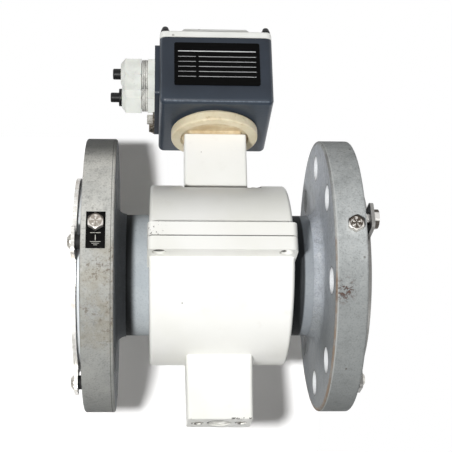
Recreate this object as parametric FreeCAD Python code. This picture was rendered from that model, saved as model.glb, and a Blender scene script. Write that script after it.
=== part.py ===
import FreeCAD, Part
import math
import os

from FreeCAD import Placement, Rotation, Vector

# Electromagnetic flow meter for a DN 80 line, with its terminal box on a neck.
# X runs along the pipe, from the inlet (-X) to the outlet (+X). Z is up, towards the box.
# The origin is on the pipe's axis, midway between the liner's two faces. Millimetres.

# Flanges, DN 80 PN 40
face_to_face = 200.0
flange_diameter = 200.0
flange_rim = 22.0
raised_face_margin = 22.0
raised_face = 2.0
bolt_edge = 20.0
bolt_count = 8
bolt_hole = 18.0
rim_round = 1.6
weld_leg = 7.0
weld_toe = 0.6

# Measuring tube and liner
tube_diameter = 88.9
tube_wall = 3.2
liner_wall = 3.0
flare_margin = 6.0
flare = 2.5
flare_round = 0.8
press_gap = 0.05

# Earthing rings outside the liner's faces
ring_overhang = 4.0
ring_bore = 79.0
ring_thickness = 2.8
inlet_ring_turn = 4.0
outlet_front_turn = 9.0
outlet_bottom_turn = 1.0
tab_width = 20.0
tab_thickness = 2.4
tab_end = 8.0
tab_corner = 4.0
tab_overlap = 11.0
tab_bend = 4.0
tab_bend_radius = 3.0
spacer_diameter = 10.0
ring_screw = 5.0
ring_screw_head = 10.8
ring_screw_dome = 2.8
ring_screw_slot = 1.2
ring_screw_length = 16.0

# Electrodes
electrode_head = 8.0
electrode_head_depth = 2.0
electrode_shank = 4.0
electrode_length = 17.5
electrode_sink = 0.1
electrode_nut_flats = 7.0
electrode_nut_height = 3.2
nut_chamfer = 0.5
bushing_diameter = 10.0
bushing_flange = 14.0
bushing_flange_height = 2.5

# Coils and pole shoes, bent round the tube
coil_thickness = 4.4
coil_length = 76.0
coil_angle = 56.0
coil_window = 32.0
window_angle = 26.0
coil_gap = 0.3

# Housing, two cast half shells
shell_diameter = 132.6
shell_length = 101.4
shell_wall = 4.0
shell_round = 2.5
casting_draft = 1.0
tube_clearance = 0.2
lip_reach = 12.9
lip_overhang = 0.8
upper_lip = 10.0
lower_lip = 10.2
lip_corner = 4.0
joint_gasket = 0.8
gasket_inset = 0.8
shell_screw_end_inset = 8.0
shell_screw_side_inset = 5.4
shell_screw = 5.0
shell_screw_head = 8.5
shell_screw_head_height = 3.6
shell_screw_seat = 2.6
shell_screw_length = 9.2
shell_screw_depth = 7.5

# Coil chamber under the lower shell
chamber_length = 46.0
chamber_width = 26.0
chamber_bottom = 111.0
chamber_run_in = 6.3
chamber_corner = 2.5
chamber_wall = 3.0
chamber_pocket = 20.0
cover_thickness = 5.0
cover_chamfer = 0.6
cover_screw_x = 15.5
cover_screw = 4.0
cover_screw_head = 7.0
cover_screw_head_height = 2.6
cover_screw_seat = 3.2
cover_screw_length = 12.0
cover_plug = 16.0
cover_plug_sink = 0.6
cover_plug_round = 0.5
plug_dish = 0.8
plug_dish_bottom = 8.8
plug_dish_top = 9.92

# Neck
neck_length = 47.4
neck_width = 26.0
neck_corner = 2.0
neck_wall = 3.0
neck_edge = 0.8
neck_top = 110.8
neck_shoulder = 65.4
neck_spigot_step = 2.2
seat_coil_gap = 1.05
seat_length = 52.0
seat_wall = 4.0
seat_pad_inset = 25.3
neck_foot = 3.0
neck_foot_width = 56.0
foot_screw_x = 27.2
foot_screw_y = 20.5
foot_pocket = 11.0
foot_screw = 4.0
foot_screw_head = 7.0
foot_screw_length = 6.5
lead_hole = 16.0
neck_seal_inset = 1.65

# Heat insulating collar between the neck and the box
collar_margin = 9.5
collar_bottom = 112.3
collar_neck_height = 1.7
collar_neck_step = 3.5
collar_recess_margin = 14.0
collar_recess_depth = 2.5
collar_recess_slope = 1.0
collar_spigot = 9.0
collar_round = 1.5
sleeve_diameter = 12.0
sleeve_wall = 1.0
sleeve_foot = 60.0
sleeve_top = 131.0

# Terminal box and lid
box_length = 86.0
box_bottom = 122.0
box_rim = 177.5
box_corner = 4.5
box_edge = 4.0
box_wall = 3.5
box_floor = 5.0
box_inner_corner = 1.0
pillar_diameter = 11.0
lid_gasket_thickness = 0.8
lid_gasket_width = 6.5
lid_thickness = 5.4
lid_edge = 1.2
lid_strip = 14.5
lid_margin = 3.0
panel_corner = 1.0
panel_root = 0.5
panel_height = 5.8
panel_bevel = 4.0
lid_screw_inset = 4.25
lid_screw = 4.0
lid_screw_head = 6.8
lid_screw_dome = 5.0
lid_screw_length = 20.0
collar_screw_inset = 11.5
collar_screw = 4.0
collar_screw_head = 7.0
collar_screw_dome = 2.6
collar_screw_length = 11.0
plate_margin = 10.5
plate_height = 36.6
plate_thickness = 0.8
plate_corner = 1.5
plate_centre_x = 0.5
plate_centre_z = 154.4

# Gland plate and cable glands
gland_plate_margin = 8.0
gland_plate_height = 43.4
gland_plate_thickness = 3.6
gland_plate_corner = 3.0
gland_plate_rise = 32.6
gland_plate_screw_inset_y = 4.5
gland_plate_screw_inset_z = 4.2
gland_plate_screw = 4.0
gland_plate_screw_head = 7.4
gland_plate_screw_length = 6.6
gland_plate_screw_slot = 0.8
gland_plate_slot_depth = 0.7
gland_side_gap = 24.3
gland_offset = 3.9
gland_thread = 20.0
gland_hex = 24.0
gland_base = 5.2
gland_ribs = 5.1
gland_shoulder = 21.4
gland_shoulder_gap = 0.4
gland_nut = 12.8
gland_dome = 3.0
gland_chamfer = 1.0
cap_chamfer = 1.6
cap_wall = 1.5
dome_step = 0.4
gland_bore = 12.0
gland_spigot = 18.0
gland_spigot_length = 14.0
seal_diameter = 14.0
seal_length = 7.0
seal_start = 15.0
dome_taper = 4.0
dome_round = 2.6
locknut_flats = 25.0
locknut_height = 5.0
front_plug = 8.4
front_plug_out = 6.1
blank_plug_round = 1.0
rear_plug = 7.8
rear_plug_out = 8.9
rear_plug_collar = 14.1
rear_plug_collar_thickness = 2.2
plug_collar_inner_round = 0.4
plug_collar_outer_round = 0.6

# Earth terminals
earth_screw = 6.0
earth_screw_flats = 10.0
earth_screw_head = 4.0
earth_screw_length = 14.0
earth_screw_turn = 30.0
earth_screw_inset = {"inlet": 10.0, "outlet": 8.0}
tab_bolt = 8.0
tab_bolt_flats = 13.0
tab_bolt_head = 4.0
tab_bolt_length = 6.2
label_width = 12.8
label_above = 8.0
label_below = 17.6
label_thickness = 0.35
box_earth_inset = 19.0
box_earth_drop = 17.1
clamp_width = 9.0
clamp_thickness = 1.2
clamp_tail = 4.0
clamp_flat = 6.0
clamp_slope = 1.5
clamp_saddle = 4.5
clamp_toe = 2.5
clamp_lift = 3.0
clamp_skew = 0.9
clamp_round = 0.6
box_earth_screw = 4.0
box_earth_screw_flats = 7.0
box_earth_screw_head = 4.6
box_earth_screw_length = 4.0
box_earth_screw_turn = 15.0

# Terminal block in the box
block_poles = 6
block_width = 15.0
block_height = 13.0
block_floor = 4.0
block_rib = 1.6
block_end = 3.0
block_end_inset = 13.0
block_side_inset = 14.0
block_screw = 3.0
block_screw_head = 5.4
block_screw_dome = 2.0
block_screw_slot = 0.8
block_screw_end_gap = 1.2

# Gaps used all over, and how far a cut runs past what it cuts
thread_gap = 0.05
blind_hole_spare = 0.5
hole_gap = 0.25
overcut = 1.0
hair = 0.001

# Screw heads, as shares of their own sizes
hexagon_head_chamfer = 0.08
dome_edge_height = 0.3
dome_top_radius = 0.3
dome_top_round = 0.16
slot_floor = 0.55
socket_flats = 0.8
socket_floor = 0.45
socket_head_round = 0.5

# Sizes that follow from the ones above
tube_radius = tube_diameter / 2
liner_outer = tube_radius - tube_wall - press_gap
bore_radius = liner_outer - liner_wall
flange_radius = flange_diameter / 2
bolt_circle = flange_diameter - 2 * bolt_edge
raised_face_diameter = bolt_circle - raised_face_margin
flare_diameter = raised_face_diameter - flare_margin
ring_diameter = raised_face_diameter + ring_overhang
tab_root = ring_diameter / 2 - tab_overlap
tab_screw_radius = bolt_circle / 2
tab_reach = tab_screw_radius + tab_end
tab_knee = tab_screw_radius - tab_end
liner_face = face_to_face / 2
raised_face_x = liner_face - flare
rim_outer_x = raised_face_x - raised_face
rim_inner_x = rim_outer_x - flange_rim
shell_radius = shell_diameter / 2
shell_inner = shell_radius - shell_wall
joint_half = joint_gasket / 2
seat_height = tube_radius + coil_gap + coil_thickness + seat_coil_gap + seat_wall
lip_length = shell_length + 2 * lip_overhang
shell_screw_x = lip_length / 2 - shell_screw_end_inset
lip_span = shell_diameter + 2 * lip_reach
shell_screw_y = lip_span / 2 - shell_screw_side_inset
chamber_root = shell_radius - chamber_run_in
seat_pad_width = shell_diameter - 2 * seat_pad_inset
box_half = box_length / 2
lid_screw_place = box_half - lid_screw_inset
collar_diameter = box_length - 2 * collar_margin
collar_recess = collar_diameter - collar_recess_margin
collar_screw_circle = collar_diameter - 2 * collar_screw_inset
plate_length = box_length - 2 * plate_margin
gland_plate_width = box_length - 2 * gland_plate_margin
gland_plate_centre = box_bottom + gland_plate_rise
gland_height = gland_plate_centre + gland_offset
box_earth_y = gland_plate_width / 2 - box_earth_inset
box_earth_z = gland_plate_centre - box_earth_drop
gland_spacing = box_length - 2 * gland_side_gap
block_pitch = (box_length - 2 * block_end_inset - 2 * block_end) / block_poles
block_y = box_half - block_side_inset
panel_length = box_length - 2 * lid_strip
panel_width = box_length - 2 * lid_margin
lid_bottom = box_rim + lid_gasket_thickness
lid_top = lid_bottom + lid_thickness
gland_face = box_half + gland_plate_thickness
nut_start = gland_base + gland_ribs
nut_end = nut_start + gland_nut
dome_end = nut_end + gland_dome
sides = {"inlet": -1, "outlet": 1}
glands = {"front": -1, "rear": 1}

x_axis = Vector(1, 0, 0)
y_axis = Vector(0, 1, 0)
z_axis = Vector(0, 0, 1)
origin = Vector(0, 0, 0)

os.makedirs("parts", exist_ok=True)


def save(node, shapes):
    """Write one node; several separate solids go in as one group."""
    shape = Part.makeCompound(shapes) if isinstance(shapes, list) else shapes
    shape.exportStep(f"parts/{node}.step")


def rounded_wire(corners, place):
    """Closed outline through corners (a, b) or (a, b, radius), put in space by place(a, b)."""
    spots = [Vector(corner[0], corner[1], 0) for corner in corners]
    radii = [corner[2] if len(corner) > 2 else 0.0 for corner in corners]
    count = len(corners)
    leaves, arrives, middles = [], [], []
    for i in range(count):
        back = (spots[i - 1] - spots[i]).normalize()
        ahead = (spots[(i + 1) % count] - spots[i]).normalize()
        half_angle = back.getAngle(ahead) / 2
        if radii[i] == 0:
            arrives.append(spots[i])
            leaves.append(spots[i])
            middles.append(None)
            continue
        leg = radii[i] / math.tan(half_angle)
        inward = (back + ahead).normalize()
        reach = radii[i] / math.sin(half_angle) - radii[i]
        arrives.append(spots[i] + back * leg)
        leaves.append(spots[i] + ahead * leg)
        middles.append(spots[i] + inward * reach)
    edges = []
    for i in range(count):
        start, end = arrives[i], leaves[i]
        if middles[i] is not None:
            middle = middles[i]
            arc = Part.Arc(place(start.x, start.y), place(middle.x, middle.y), place(end.x, end.y))
            edges.append(arc.toShape())
        following = arrives[(i + 1) % count]
        if (following - end).Length > 1e-6:
            line = Part.LineSegment(place(end.x, end.y), place(following.x, following.y))
            edges.append(line.toShape())
    return Part.Wire(edges)


def turned_x(corners, angle=360.0):
    """Solid turned about the pipe's axis from a half section of (x, radius) corners."""
    face = Part.Face(rounded_wire(corners, lambda x, r: Vector(x, r, 0)))
    return face.revolve(origin, x_axis, angle)


def turned(corners):
    """Solid turned about Z from a half section of (radius, height) corners."""
    face = Part.Face(rounded_wire(corners, lambda r, h: Vector(r, 0, h)))
    return face.revolve(origin, z_axis, 360)


def rectangle(length, width, corner=0.0):
    """Corners of a rectangle about the middle, for rounded_wire."""
    a, b = length / 2, width / 2
    return [(-a, -b, corner), (a, -b, corner), (a, b, corner), (-a, b, corner)]


def upright_bar(length, width, corner, low, high, x=0.0, y=0.0):
    """Bar standing on Z between two heights, with rounded vertical edges."""
    wire = rounded_wire(rectangle(length, width, corner), lambda a, b: Vector(x + a, y + b, low))
    return Part.Face(wire).extrude(z_axis * (high - low))


def plate_on_x(width, height, corner, start, end, z):
    """Plate across the X axis between two x places, centred on y = 0 and height z."""
    wire = rounded_wire(rectangle(width, height, corner), lambda a, b: Vector(start, a, z + b))
    return Part.Face(wire).extrude(x_axis * (end - start))


def rod(radius, start, direction, length):
    return Part.makeCylinder(radius, length, start, direction)


def hexagon(flats, low, high):
    """Hexagonal bar about Z, with two of its flats facing along Y."""
    reach = flats / math.sqrt(3)
    corners = []
    for i in range(6):
        turn = math.radians(60 * i)
        corners.append(Vector(reach * math.cos(turn), reach * math.sin(turn), low))
    return Part.Face(Part.makePolygon(corners + corners[:1])).extrude(z_axis * (high - low))


def chamfered_hexagon(flats, low, high, low_chamfer, high_chamfer):
    """Hexagonal bar with its corners turned off at the chosen ends."""
    reach = flats / math.sqrt(3)
    slope = math.tan(math.radians(30))
    outline = [(0, low), (reach - low_chamfer, low)]
    if low_chamfer:
        outline.append((reach, low + low_chamfer * slope))
    if high_chamfer:
        outline.append((reach, high - high_chamfer * slope))
    outline += [(reach - high_chamfer, high), (0, high)]
    return hexagon(flats, low, high).common(turned(outline))


def placed(shape, spot, direction, spin=0.0):
    """Copy of a shape made about +Z, turned by spin and aimed from spot along direction."""
    moved = shape.copy()
    aim = Rotation(z_axis, direction).multiply(Rotation(z_axis, spin))
    moved.Placement = Placement(spot, aim).multiply(moved.Placement)
    return moved


def on_side(shape, side):
    """A shape made at the outlet, or its mirror image at the inlet."""
    return shape if side > 0 else shape.mirror(origin, x_axis)


def around_x(shape, angle):
    moved = shape.copy()
    moved.rotate(origin, x_axis, angle)
    return moved


def hex_screw(size, flats, head, length):
    """Hexagon head on z = 0 upwards, shank downwards."""
    top = chamfered_hexagon(flats, 0, head, 0, flats * hexagon_head_chamfer)
    return top.fuse(rod(size / 2, Vector(0, 0, -length), z_axis, length)).removeSplitter()


def domed_screw(size, head, dome, length, slot=0.0):
    """Domed head on z = 0 upwards with an optional straight slot, shank downwards."""
    edge = dome * dome_edge_height
    top = turned([(0, 0), (head / 2, 0), (head / 2, edge),
                  (head * dome_top_radius, dome, head * dome_top_round), (0, dome)])
    screw = top.fuse(rod(size / 2, Vector(0, 0, -length), z_axis, length)).removeSplitter()
    if slot:
        cutter = Part.makeBox(slot, head, dome, Vector(-slot / 2, -head / 2, dome * slot_floor))
        screw = screw.cut(cutter)
    return screw


def socket_screw(size, head, height, length):
    """Cylindrical head on z = 0 upwards with a hexagon socket, shank downwards."""
    top = turned([(0, 0), (head / 2, 0), (head / 2, height, socket_head_round), (0, height)])
    socket = hexagon(size * socket_flats, height * socket_floor, height)
    screw = top.fuse(rod(size / 2, Vector(0, 0, -length), z_axis, length)).removeSplitter()
    return screw.cut(socket)


def countersunk_form(size, head, length, gap=0.0):
    """Screw with a conical head flush at z = 0; with a gap it is the hole for it."""
    shank, rim = size / 2 + gap, head / 2 + gap
    return turned([(0, -length), (shank, -length), (shank, -(rim - shank)), (rim, 0), (0, 0)])


# Tube, liner and flanges --------------------------------------------------------------------

def measuring_tube():
    tube = turned_x([(-raised_face_x, liner_outer + press_gap), (raised_face_x, liner_outer + press_gap),
                     (raised_face_x, tube_radius), (-raised_face_x, tube_radius)])
    hole = rod(bushing_diameter / 2 + press_gap, Vector(0, -flange_radius, 0), y_axis, flange_diameter)
    return tube.cut(hole)


def liner():
    flare_radius = flare_diameter / 2
    sleeve = turned_x([(-liner_face, bore_radius), (liner_face, bore_radius),
                       (liner_face, flare_radius, flare_round), (raised_face_x, flare_radius),
                       (raised_face_x, liner_outer), (-raised_face_x, liner_outer),
                       (-raised_face_x, flare_radius), (-liner_face, flare_radius, flare_round)])
    seat = rod(electrode_head / 2 + press_gap, Vector(0, -liner_outer, 0), y_axis, 2 * liner_outer)
    return sleeve.cut(seat)


def bolt_angles():
    """Bolt holes straddle the centre lines, so the first is half a pitch from one."""
    pitch = 360.0 / bolt_count
    return [pitch * (i + 0.5) for i in range(bolt_count)]


def tab_places(side):
    """Angles about X of a ring's two tabs, from the front down; each ring sits slightly turned."""
    if side > 0:
        return {"front": -outlet_front_turn, "bottom": 90.0 - outlet_bottom_turn}
    return {"front": inlet_ring_turn, "bottom": 90.0 + inlet_ring_turn}


def spaced_tabs(side):
    """The tabs that stand on a spacer: the outlet's front tab is bent clear of its flange."""
    places = tab_places(side)
    return [places["bottom"]] if side > 0 else [places["front"], places["bottom"]]


def rim_screw_x(side):
    """Distance of a rim's earth screw from the middle of the meter."""
    name = "outlet" if side > 0 else "inlet"
    return rim_outer_x - earth_screw_inset[name]


def flange(side):
    """Slip-on flange with its raised face outwards and its weld run into the back."""
    hub = tube_radius + press_gap
    body = turned_x([(rim_inner_x - weld_leg, hub), (raised_face_x, hub),
                     (raised_face_x, raised_face_diameter / 2), (rim_outer_x, raised_face_diameter / 2),
                     (rim_outer_x, flange_radius, rim_round), (rim_inner_x, flange_radius, rim_round),
                     (rim_inner_x, hub + weld_toe, weld_leg), (rim_inner_x - weld_leg, hub + weld_toe)])
    bolt_way = rod(bolt_hole / 2, Vector(rim_inner_x - overcut, -bolt_circle / 2, 0), x_axis,
                   flange_rim + 2 * overcut)
    earth_hole = rod(earth_screw / 2 + thread_gap,
                     Vector(rim_screw_x(side), -flange_radius - overcut, 0), y_axis,
                     earth_screw_length + 2 * overcut)
    ring_hole = rod(ring_screw / 2 + thread_gap, Vector(rim_outer_x + overcut, -tab_screw_radius, 0), -x_axis,
                    ring_screw_length)
    holes = [around_x(bolt_way, angle) for angle in bolt_angles()] + [earth_hole]
    holes += [around_x(ring_hole, angle) for angle in spaced_tabs(side)]
    return on_side(body.cut(Part.makeCompound(holes)), side)


# Earthing rings -----------------------------------------------------------------------------

def flat_tab():
    """Straight tab along -Y with its end corners rounded and its screw hole."""
    strip = Part.makeBox(tab_thickness, tab_reach - tab_root, tab_width,
                         Vector(liner_face, -tab_reach, -tab_width / 2))
    corners = [edge for edge in strip.Edges
               if edge.BoundBox.YMax < -tab_reach + 1e-6 and edge.BoundBox.XLength > 1]
    hole = rod(ring_screw / 2 + hole_gap, Vector(liner_face - overcut, -tab_screw_radius, 0),
               x_axis, ring_thickness + 2 * overcut)
    return strip.makeFillet(tab_corner, corners).cut(hole)


def bent_tab_points():
    """Knee of the bent tab: its bend centre, the direction it runs in and the one it faces."""
    angle = math.radians(tab_bend)
    centre = Vector(liner_face + tab_bend_radius + tab_thickness, -tab_knee, 0)
    along = Vector(math.sin(angle), -math.cos(angle), 0)
    facing = Vector(math.cos(angle), math.sin(angle), 0)
    return centre, along, facing


def tab_bolt_seat():
    """Place of the bolt on the bent tab's outer face."""
    centre, along, facing = bent_tab_points()
    return centre - facing * tab_bend_radius + along * (tab_screw_radius - tab_knee)


def bent_tab():
    """Tab along -Y that leaves the ring's plane at a bend, with its bolt hole."""
    centre, along, facing = bent_tab_points()
    half = Vector(math.cos(math.radians(tab_bend / 2)), math.sin(math.radians(tab_bend / 2)), 0)
    inner, outer = tab_bend_radius, tab_bend_radius + tab_thickness
    straight = along * (tab_reach - tab_knee)
    root = Vector(0, tab_knee - tab_root, 0)
    inner_start, inner_end = centre - x_axis * inner, centre - facing * inner
    outer_start, outer_end = centre - x_axis * outer, centre - facing * outer
    section = Part.Wire([
        Part.LineSegment(outer_start + root, outer_start).toShape(),
        Part.Arc(outer_start, centre - half * outer, outer_end).toShape(),
        Part.LineSegment(outer_end, outer_end + straight).toShape(),
        Part.LineSegment(outer_end + straight, inner_end + straight).toShape(),
        Part.LineSegment(inner_end + straight, inner_end).toShape(),
        Part.Arc(inner_end, centre - half * inner, inner_start).toShape(),
        Part.LineSegment(inner_start, inner_start + root).toShape(),
        Part.LineSegment(inner_start + root, outer_start + root).toShape(),
    ])
    strip = Part.Face(section).extrude(z_axis * tab_width)
    strip.translate(z_axis * (-tab_width / 2))
    end = (outer_end + straight).y
    corners = [edge for edge in strip.Edges
               if edge.BoundBox.YMin < end + 1 and edge.BoundBox.ZLength < 1
               and edge.Length < 1.5 * tab_thickness]
    seat = tab_bolt_seat()
    hole = rod(tab_bolt / 2 + thread_gap, seat + facing, -facing, ring_thickness + 2)
    return strip.makeFillet(tab_corner, corners).cut(hole)


def earthing_ring(side):
    """Flat ring on the liner's face with a tab at the front and one at the bottom."""
    places = tab_places(side)
    front = bent_tab() if side > 0 else flat_tab()
    disc = rod(ring_diameter / 2, Vector(liner_face, 0, 0), x_axis, ring_thickness)
    body = disc.fuse([around_x(front, places["front"]), around_x(flat_tab(), places["bottom"])])
    body = body.cut(rod(ring_bore / 2, Vector(liner_face - 1, 0, 0), x_axis, ring_thickness + 2))
    return on_side(body.removeSplitter(), side)


def ring_spacers():
    """Sleeves between the flange and each tab that is screwed to it."""
    length = liner_face - rim_outer_x
    sleeve = turned([(ring_screw / 2 + hole_gap, 0), (spacer_diameter / 2, 0),
                     (spacer_diameter / 2, length), (ring_screw / 2 + hole_gap, length)])
    standing = placed(sleeve, Vector(rim_outer_x, -tab_screw_radius, 0), x_axis)
    return [on_side(around_x(standing, angle), side)
            for side in sides.values() for angle in spaced_tabs(side)]


def ring_screws():
    screw = domed_screw(ring_screw, ring_screw_head, ring_screw_dome, ring_screw_length, ring_screw_slot)
    standing = placed(screw, Vector(liner_face + tab_thickness, -tab_screw_radius, 0), x_axis)
    return [on_side(around_x(standing, angle), side)
            for side in sides.values() for angle in spaced_tabs(side)]


def ring_earth_bolt():
    """Hexagon bolt for the earth wire, in the outlet ring's bent tab."""
    facing = bent_tab_points()[2]
    bolt = hex_screw(tab_bolt, tab_bolt_flats, tab_bolt_head, tab_bolt_length)
    return around_x(placed(bolt, tab_bolt_seat(), facing), tab_places(1)["front"])


# Electrodes and coils -----------------------------------------------------------------------

def front_and_back(shape):
    """A shape made along +Y from the axis, and its copy along -Y."""
    return [shape, shape.mirror(origin, y_axis)]


def electrode():
    tip = bore_radius + electrode_sink
    shoulder = tip + electrode_head_depth
    pin = turned([(0, tip), (electrode_head / 2, tip), (electrode_head / 2, shoulder),
                  (electrode_shank / 2, shoulder), (electrode_shank / 2, tip + electrode_length),
                  (0, tip + electrode_length)])
    return placed(pin, origin, y_axis)


def electrode_bushing():
    """Plastic bushing that keeps the electrode's shank clear of the tube."""
    start, flange_start = liner_outer + press_gap, tube_radius + press_gap
    flange_end = flange_start + bushing_flange_height
    inner = electrode_shank / 2 + thread_gap
    sleeve = turned([(inner, start), (bushing_diameter / 2, start), (bushing_diameter / 2, flange_start),
                     (bushing_flange / 2, flange_start), (bushing_flange / 2, flange_end),
                     (inner, flange_end)])
    return placed(sleeve, origin, y_axis)


def electrode_nut():
    start = tube_radius + press_gap + bushing_flange_height
    nut = chamfered_hexagon(electrode_nut_flats, start, start + electrode_nut_height, nut_chamfer,
                            nut_chamfer)
    nut = nut.cut(rod(electrode_shank / 2 + thread_gap, Vector(0, 0, start - 1), z_axis,
                      electrode_nut_height + 2))
    return placed(nut, origin, y_axis)


def saddle(inner_radius, thickness, length, angle):
    """Piece of a pipe wall on top of the tube, bent round it over twice the angle."""
    wall = turned_x([(-length / 2, inner_radius), (length / 2, inner_radius),
                     (length / 2, inner_radius + thickness), (-length / 2, inner_radius + thickness)],
                    2 * angle)
    return around_x(wall, 90 - angle)


def coil():
    outer = saddle(tube_radius + coil_gap, coil_thickness, coil_length, coil_angle)
    window = saddle(tube_radius, coil_thickness + 1, coil_window, window_angle)
    return outer.cut(window)


def pole_shoe():
    side_gap_angle = math.degrees(coil_gap / tube_radius)
    return saddle(tube_radius + press_gap, coil_thickness, coil_window - 2 * coil_gap,
                  window_angle - side_gap_angle)


# Housing ------------------------------------------------------------------------------------

def drafted_barrel(radius, length, draft):
    """Upper half of a barrel along X whose end walls lean in by the draft from the joint up."""
    lean = math.tan(math.radians(draft)) * radius
    wedge = Part.makePolygon([Vector(-length / 2, -radius, 0), Vector(length / 2, -radius, 0),
                              Vector(length / 2 - lean, -radius, radius),
                              Vector(-length / 2 + lean, -radius, radius), Vector(-length / 2, -radius, 0)])
    prism = Part.Face(wedge).extrude(y_axis * (2 * radius))
    return rod(radius, Vector(-length / 2, 0, 0), x_axis, length).common(prism)


def end_arcs(barrel):
    """The curved edges where a barrel's wall meets its ends."""
    return [edge for edge in barrel.Edges
            if not isinstance(edge.Curve, Part.Line) and edge.BoundBox.XLength < 2 * shell_round]


def half_shell(lip):
    """Upper half of the housing: barrel with rounded ends, joint lip all round, hollow inside."""
    barrel = drafted_barrel(shell_radius, shell_length, casting_draft)
    barrel = barrel.makeFillet(shell_round, end_arcs(barrel))
    body = barrel.fuse(upright_bar(lip_length, lip_span, lip_corner, 0, lip))
    hollow = drafted_barrel(shell_inner, shell_length - 2 * shell_wall, casting_draft)
    body = body.cut(hollow)
    return body


def shell_screw_places():
    return [Vector(x * shell_screw_x, y * shell_screw_y, 0) for x in (-1, 1) for y in (-1, 1)]


def tube_way():
    return rod(tube_radius + tube_clearance, Vector(-lip_length, 0, 0), x_axis, 2 * lip_length)


def foot_screw_places():
    """The neck's two foot screws stand on a diagonal."""
    return [Vector(foot_screw_x, -foot_screw_y, 0), Vector(-foot_screw_x, foot_screw_y, 0)]


def upper_shell():
    """Half shell with the neck's flat seat, its wall carried under the seat, and screw pockets."""
    body = half_shell(upper_lip)
    pad = Part.makeBox(seat_length + 4 * seat_wall, seat_pad_width, seat_wall,
                       Vector(-seat_length / 2 - 2 * seat_wall, -seat_pad_width / 2, seat_height - seat_wall))
    body = body.fuse(pad.common(rod(shell_radius, Vector(-shell_length / 2, 0, 0), x_axis, shell_length)))
    above = shell_radius - seat_height + 1
    cuts = [Part.makeBox(seat_length, shell_diameter, above,
                         Vector(-seat_length / 2, -shell_radius, seat_height))]
    for spot in foot_screw_places():
        cuts.append(rod(foot_pocket / 2, spot + z_axis * seat_height, z_axis, above))
        run = Part.makeBox(foot_pocket, shell_radius - foot_screw_y, above)
        run_start = foot_screw_y if spot.y > 0 else -shell_radius
        run.translate(Vector(spot.x - foot_pocket / 2, run_start, seat_height))
        cuts.append(run)
        thread_start = spot + z_axis * (seat_height - seat_wall - 1)
        cuts.append(rod(foot_screw / 2 + thread_gap, thread_start, z_axis, above))
    cuts.append(rod(lead_hole / 2, z_axis * (seat_height - seat_wall - 1), z_axis, above))
    cuts.append(tube_way())
    cuts.append(upright_bar(lip_length + 2, lip_span + 2, 0, -1, joint_half))
    for spot in shell_screw_places():
        cuts.append(rod(shell_screw / 2 + thread_gap, spot, z_axis, shell_screw_depth))
    return body.cut(Part.makeCompound(cuts)).removeSplitter()


def chamber():
    """Tapered box under the shell, wider towards the joint by the casting draft."""
    rise = chamber_bottom - chamber_root
    grow = 2 * math.tan(math.radians(casting_draft)) * rise
    low = rounded_wire(rectangle(chamber_length, chamber_width, chamber_corner),
                       lambda a, b: Vector(a, b, -chamber_bottom))
    high = rounded_wire(rectangle(chamber_length + grow, chamber_width + grow, chamber_corner),
                        lambda a, b: Vector(a, b, -chamber_root))
    return Part.makeLoft([low, high], True, True)


def lower_shell():
    """Half shell with the coil chamber under it and counterbored screw holes in its lip."""
    body = around_x(half_shell(lower_lip), 180).fuse(chamber())
    pocket_width = chamber_width - 2 * chamber_wall
    cuts = [around_x(drafted_barrel(shell_inner, shell_length - 2 * shell_wall, casting_draft), 180)]
    cuts.append(upright_bar(chamber_pocket, pocket_width, chamber_corner, -chamber_bottom - 1, -chamber_root))
    cuts.append(upright_bar(chamber_length + 2, chamber_width + 2, 0, -chamber_bottom - 1,
                            cover_thickness - chamber_bottom))
    for spot in cover_screw_places():
        cuts.append(rod(cover_screw / 2 + thread_gap, spot, z_axis, cover_screw_length))
    cuts.append(tube_way())
    cuts.append(upright_bar(lip_length + 2, lip_span + 2, 0, -joint_half, 1))
    for spot in shell_screw_places():
        cuts.append(rod(shell_screw / 2 + hole_gap, spot - z_axis * (lower_lip + 1), z_axis, lower_lip + 2))
        pocket_start = spot - z_axis * shell_screw_seat
        cuts.append(rod(shell_screw_head / 2 + 2 * hole_gap, pocket_start, -z_axis, lower_lip))
    return body.cut(Part.makeCompound(cuts)).removeSplitter()


def shell_gasket():
    """Flat gasket in the joint, parted by the tube into a front and a back half."""
    sheet = upright_bar(lip_length - 2 * gasket_inset, lip_span - 2 * gasket_inset, lip_corner,
                        -joint_half, joint_half)
    window = upright_bar(shell_length - 2 * shell_wall, 2 * shell_inner, 0, -1, 1)
    sheet = sheet.cut(window).cut(tube_way())
    holes = [rod(shell_screw / 2 + hole_gap, spot - z_axis, z_axis, 2) for spot in shell_screw_places()]
    return sheet.cut(Part.makeCompound(holes)).Solids


def shell_screws():
    screw = socket_screw(shell_screw, shell_screw_head, shell_screw_head_height, shell_screw_length)
    return [placed(screw, spot - z_axis * shell_screw_seat, -z_axis) for spot in shell_screw_places()]


def cover_screw_places():
    seat = cover_screw_seat - chamber_bottom
    return [Vector(-cover_screw_x, 0, seat), Vector(cover_screw_x, 0, seat)]


def coil_cover():
    """Plate that closes the coil chamber, with a plugged hole in its middle."""
    low = -chamber_bottom
    plate = upright_bar(chamber_length, chamber_width, chamber_corner, low, low + cover_thickness)
    lowest = [edge for edge in plate.Edges if edge.BoundBox.ZMax < low + 1e-3]
    plate = plate.makeChamfer(cover_chamfer, lowest)
    cuts = [rod(cover_plug / 2 + press_gap, z_axis * (low - 1), z_axis, cover_thickness + 2)]
    for spot in cover_screw_places():
        cuts.append(rod(cover_screw / 2 + hole_gap, spot - z_axis, z_axis, cover_thickness + 2))
        cuts.append(rod(cover_screw_head / 2 + hole_gap, spot, -z_axis, cover_thickness))
    return plate.cut(Part.makeCompound(cuts))


def cover_screws():
    screw = socket_screw(cover_screw, cover_screw_head, cover_screw_head_height, cover_screw_length - 1)
    return [placed(screw, spot, -z_axis) for spot in cover_screw_places()]


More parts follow.
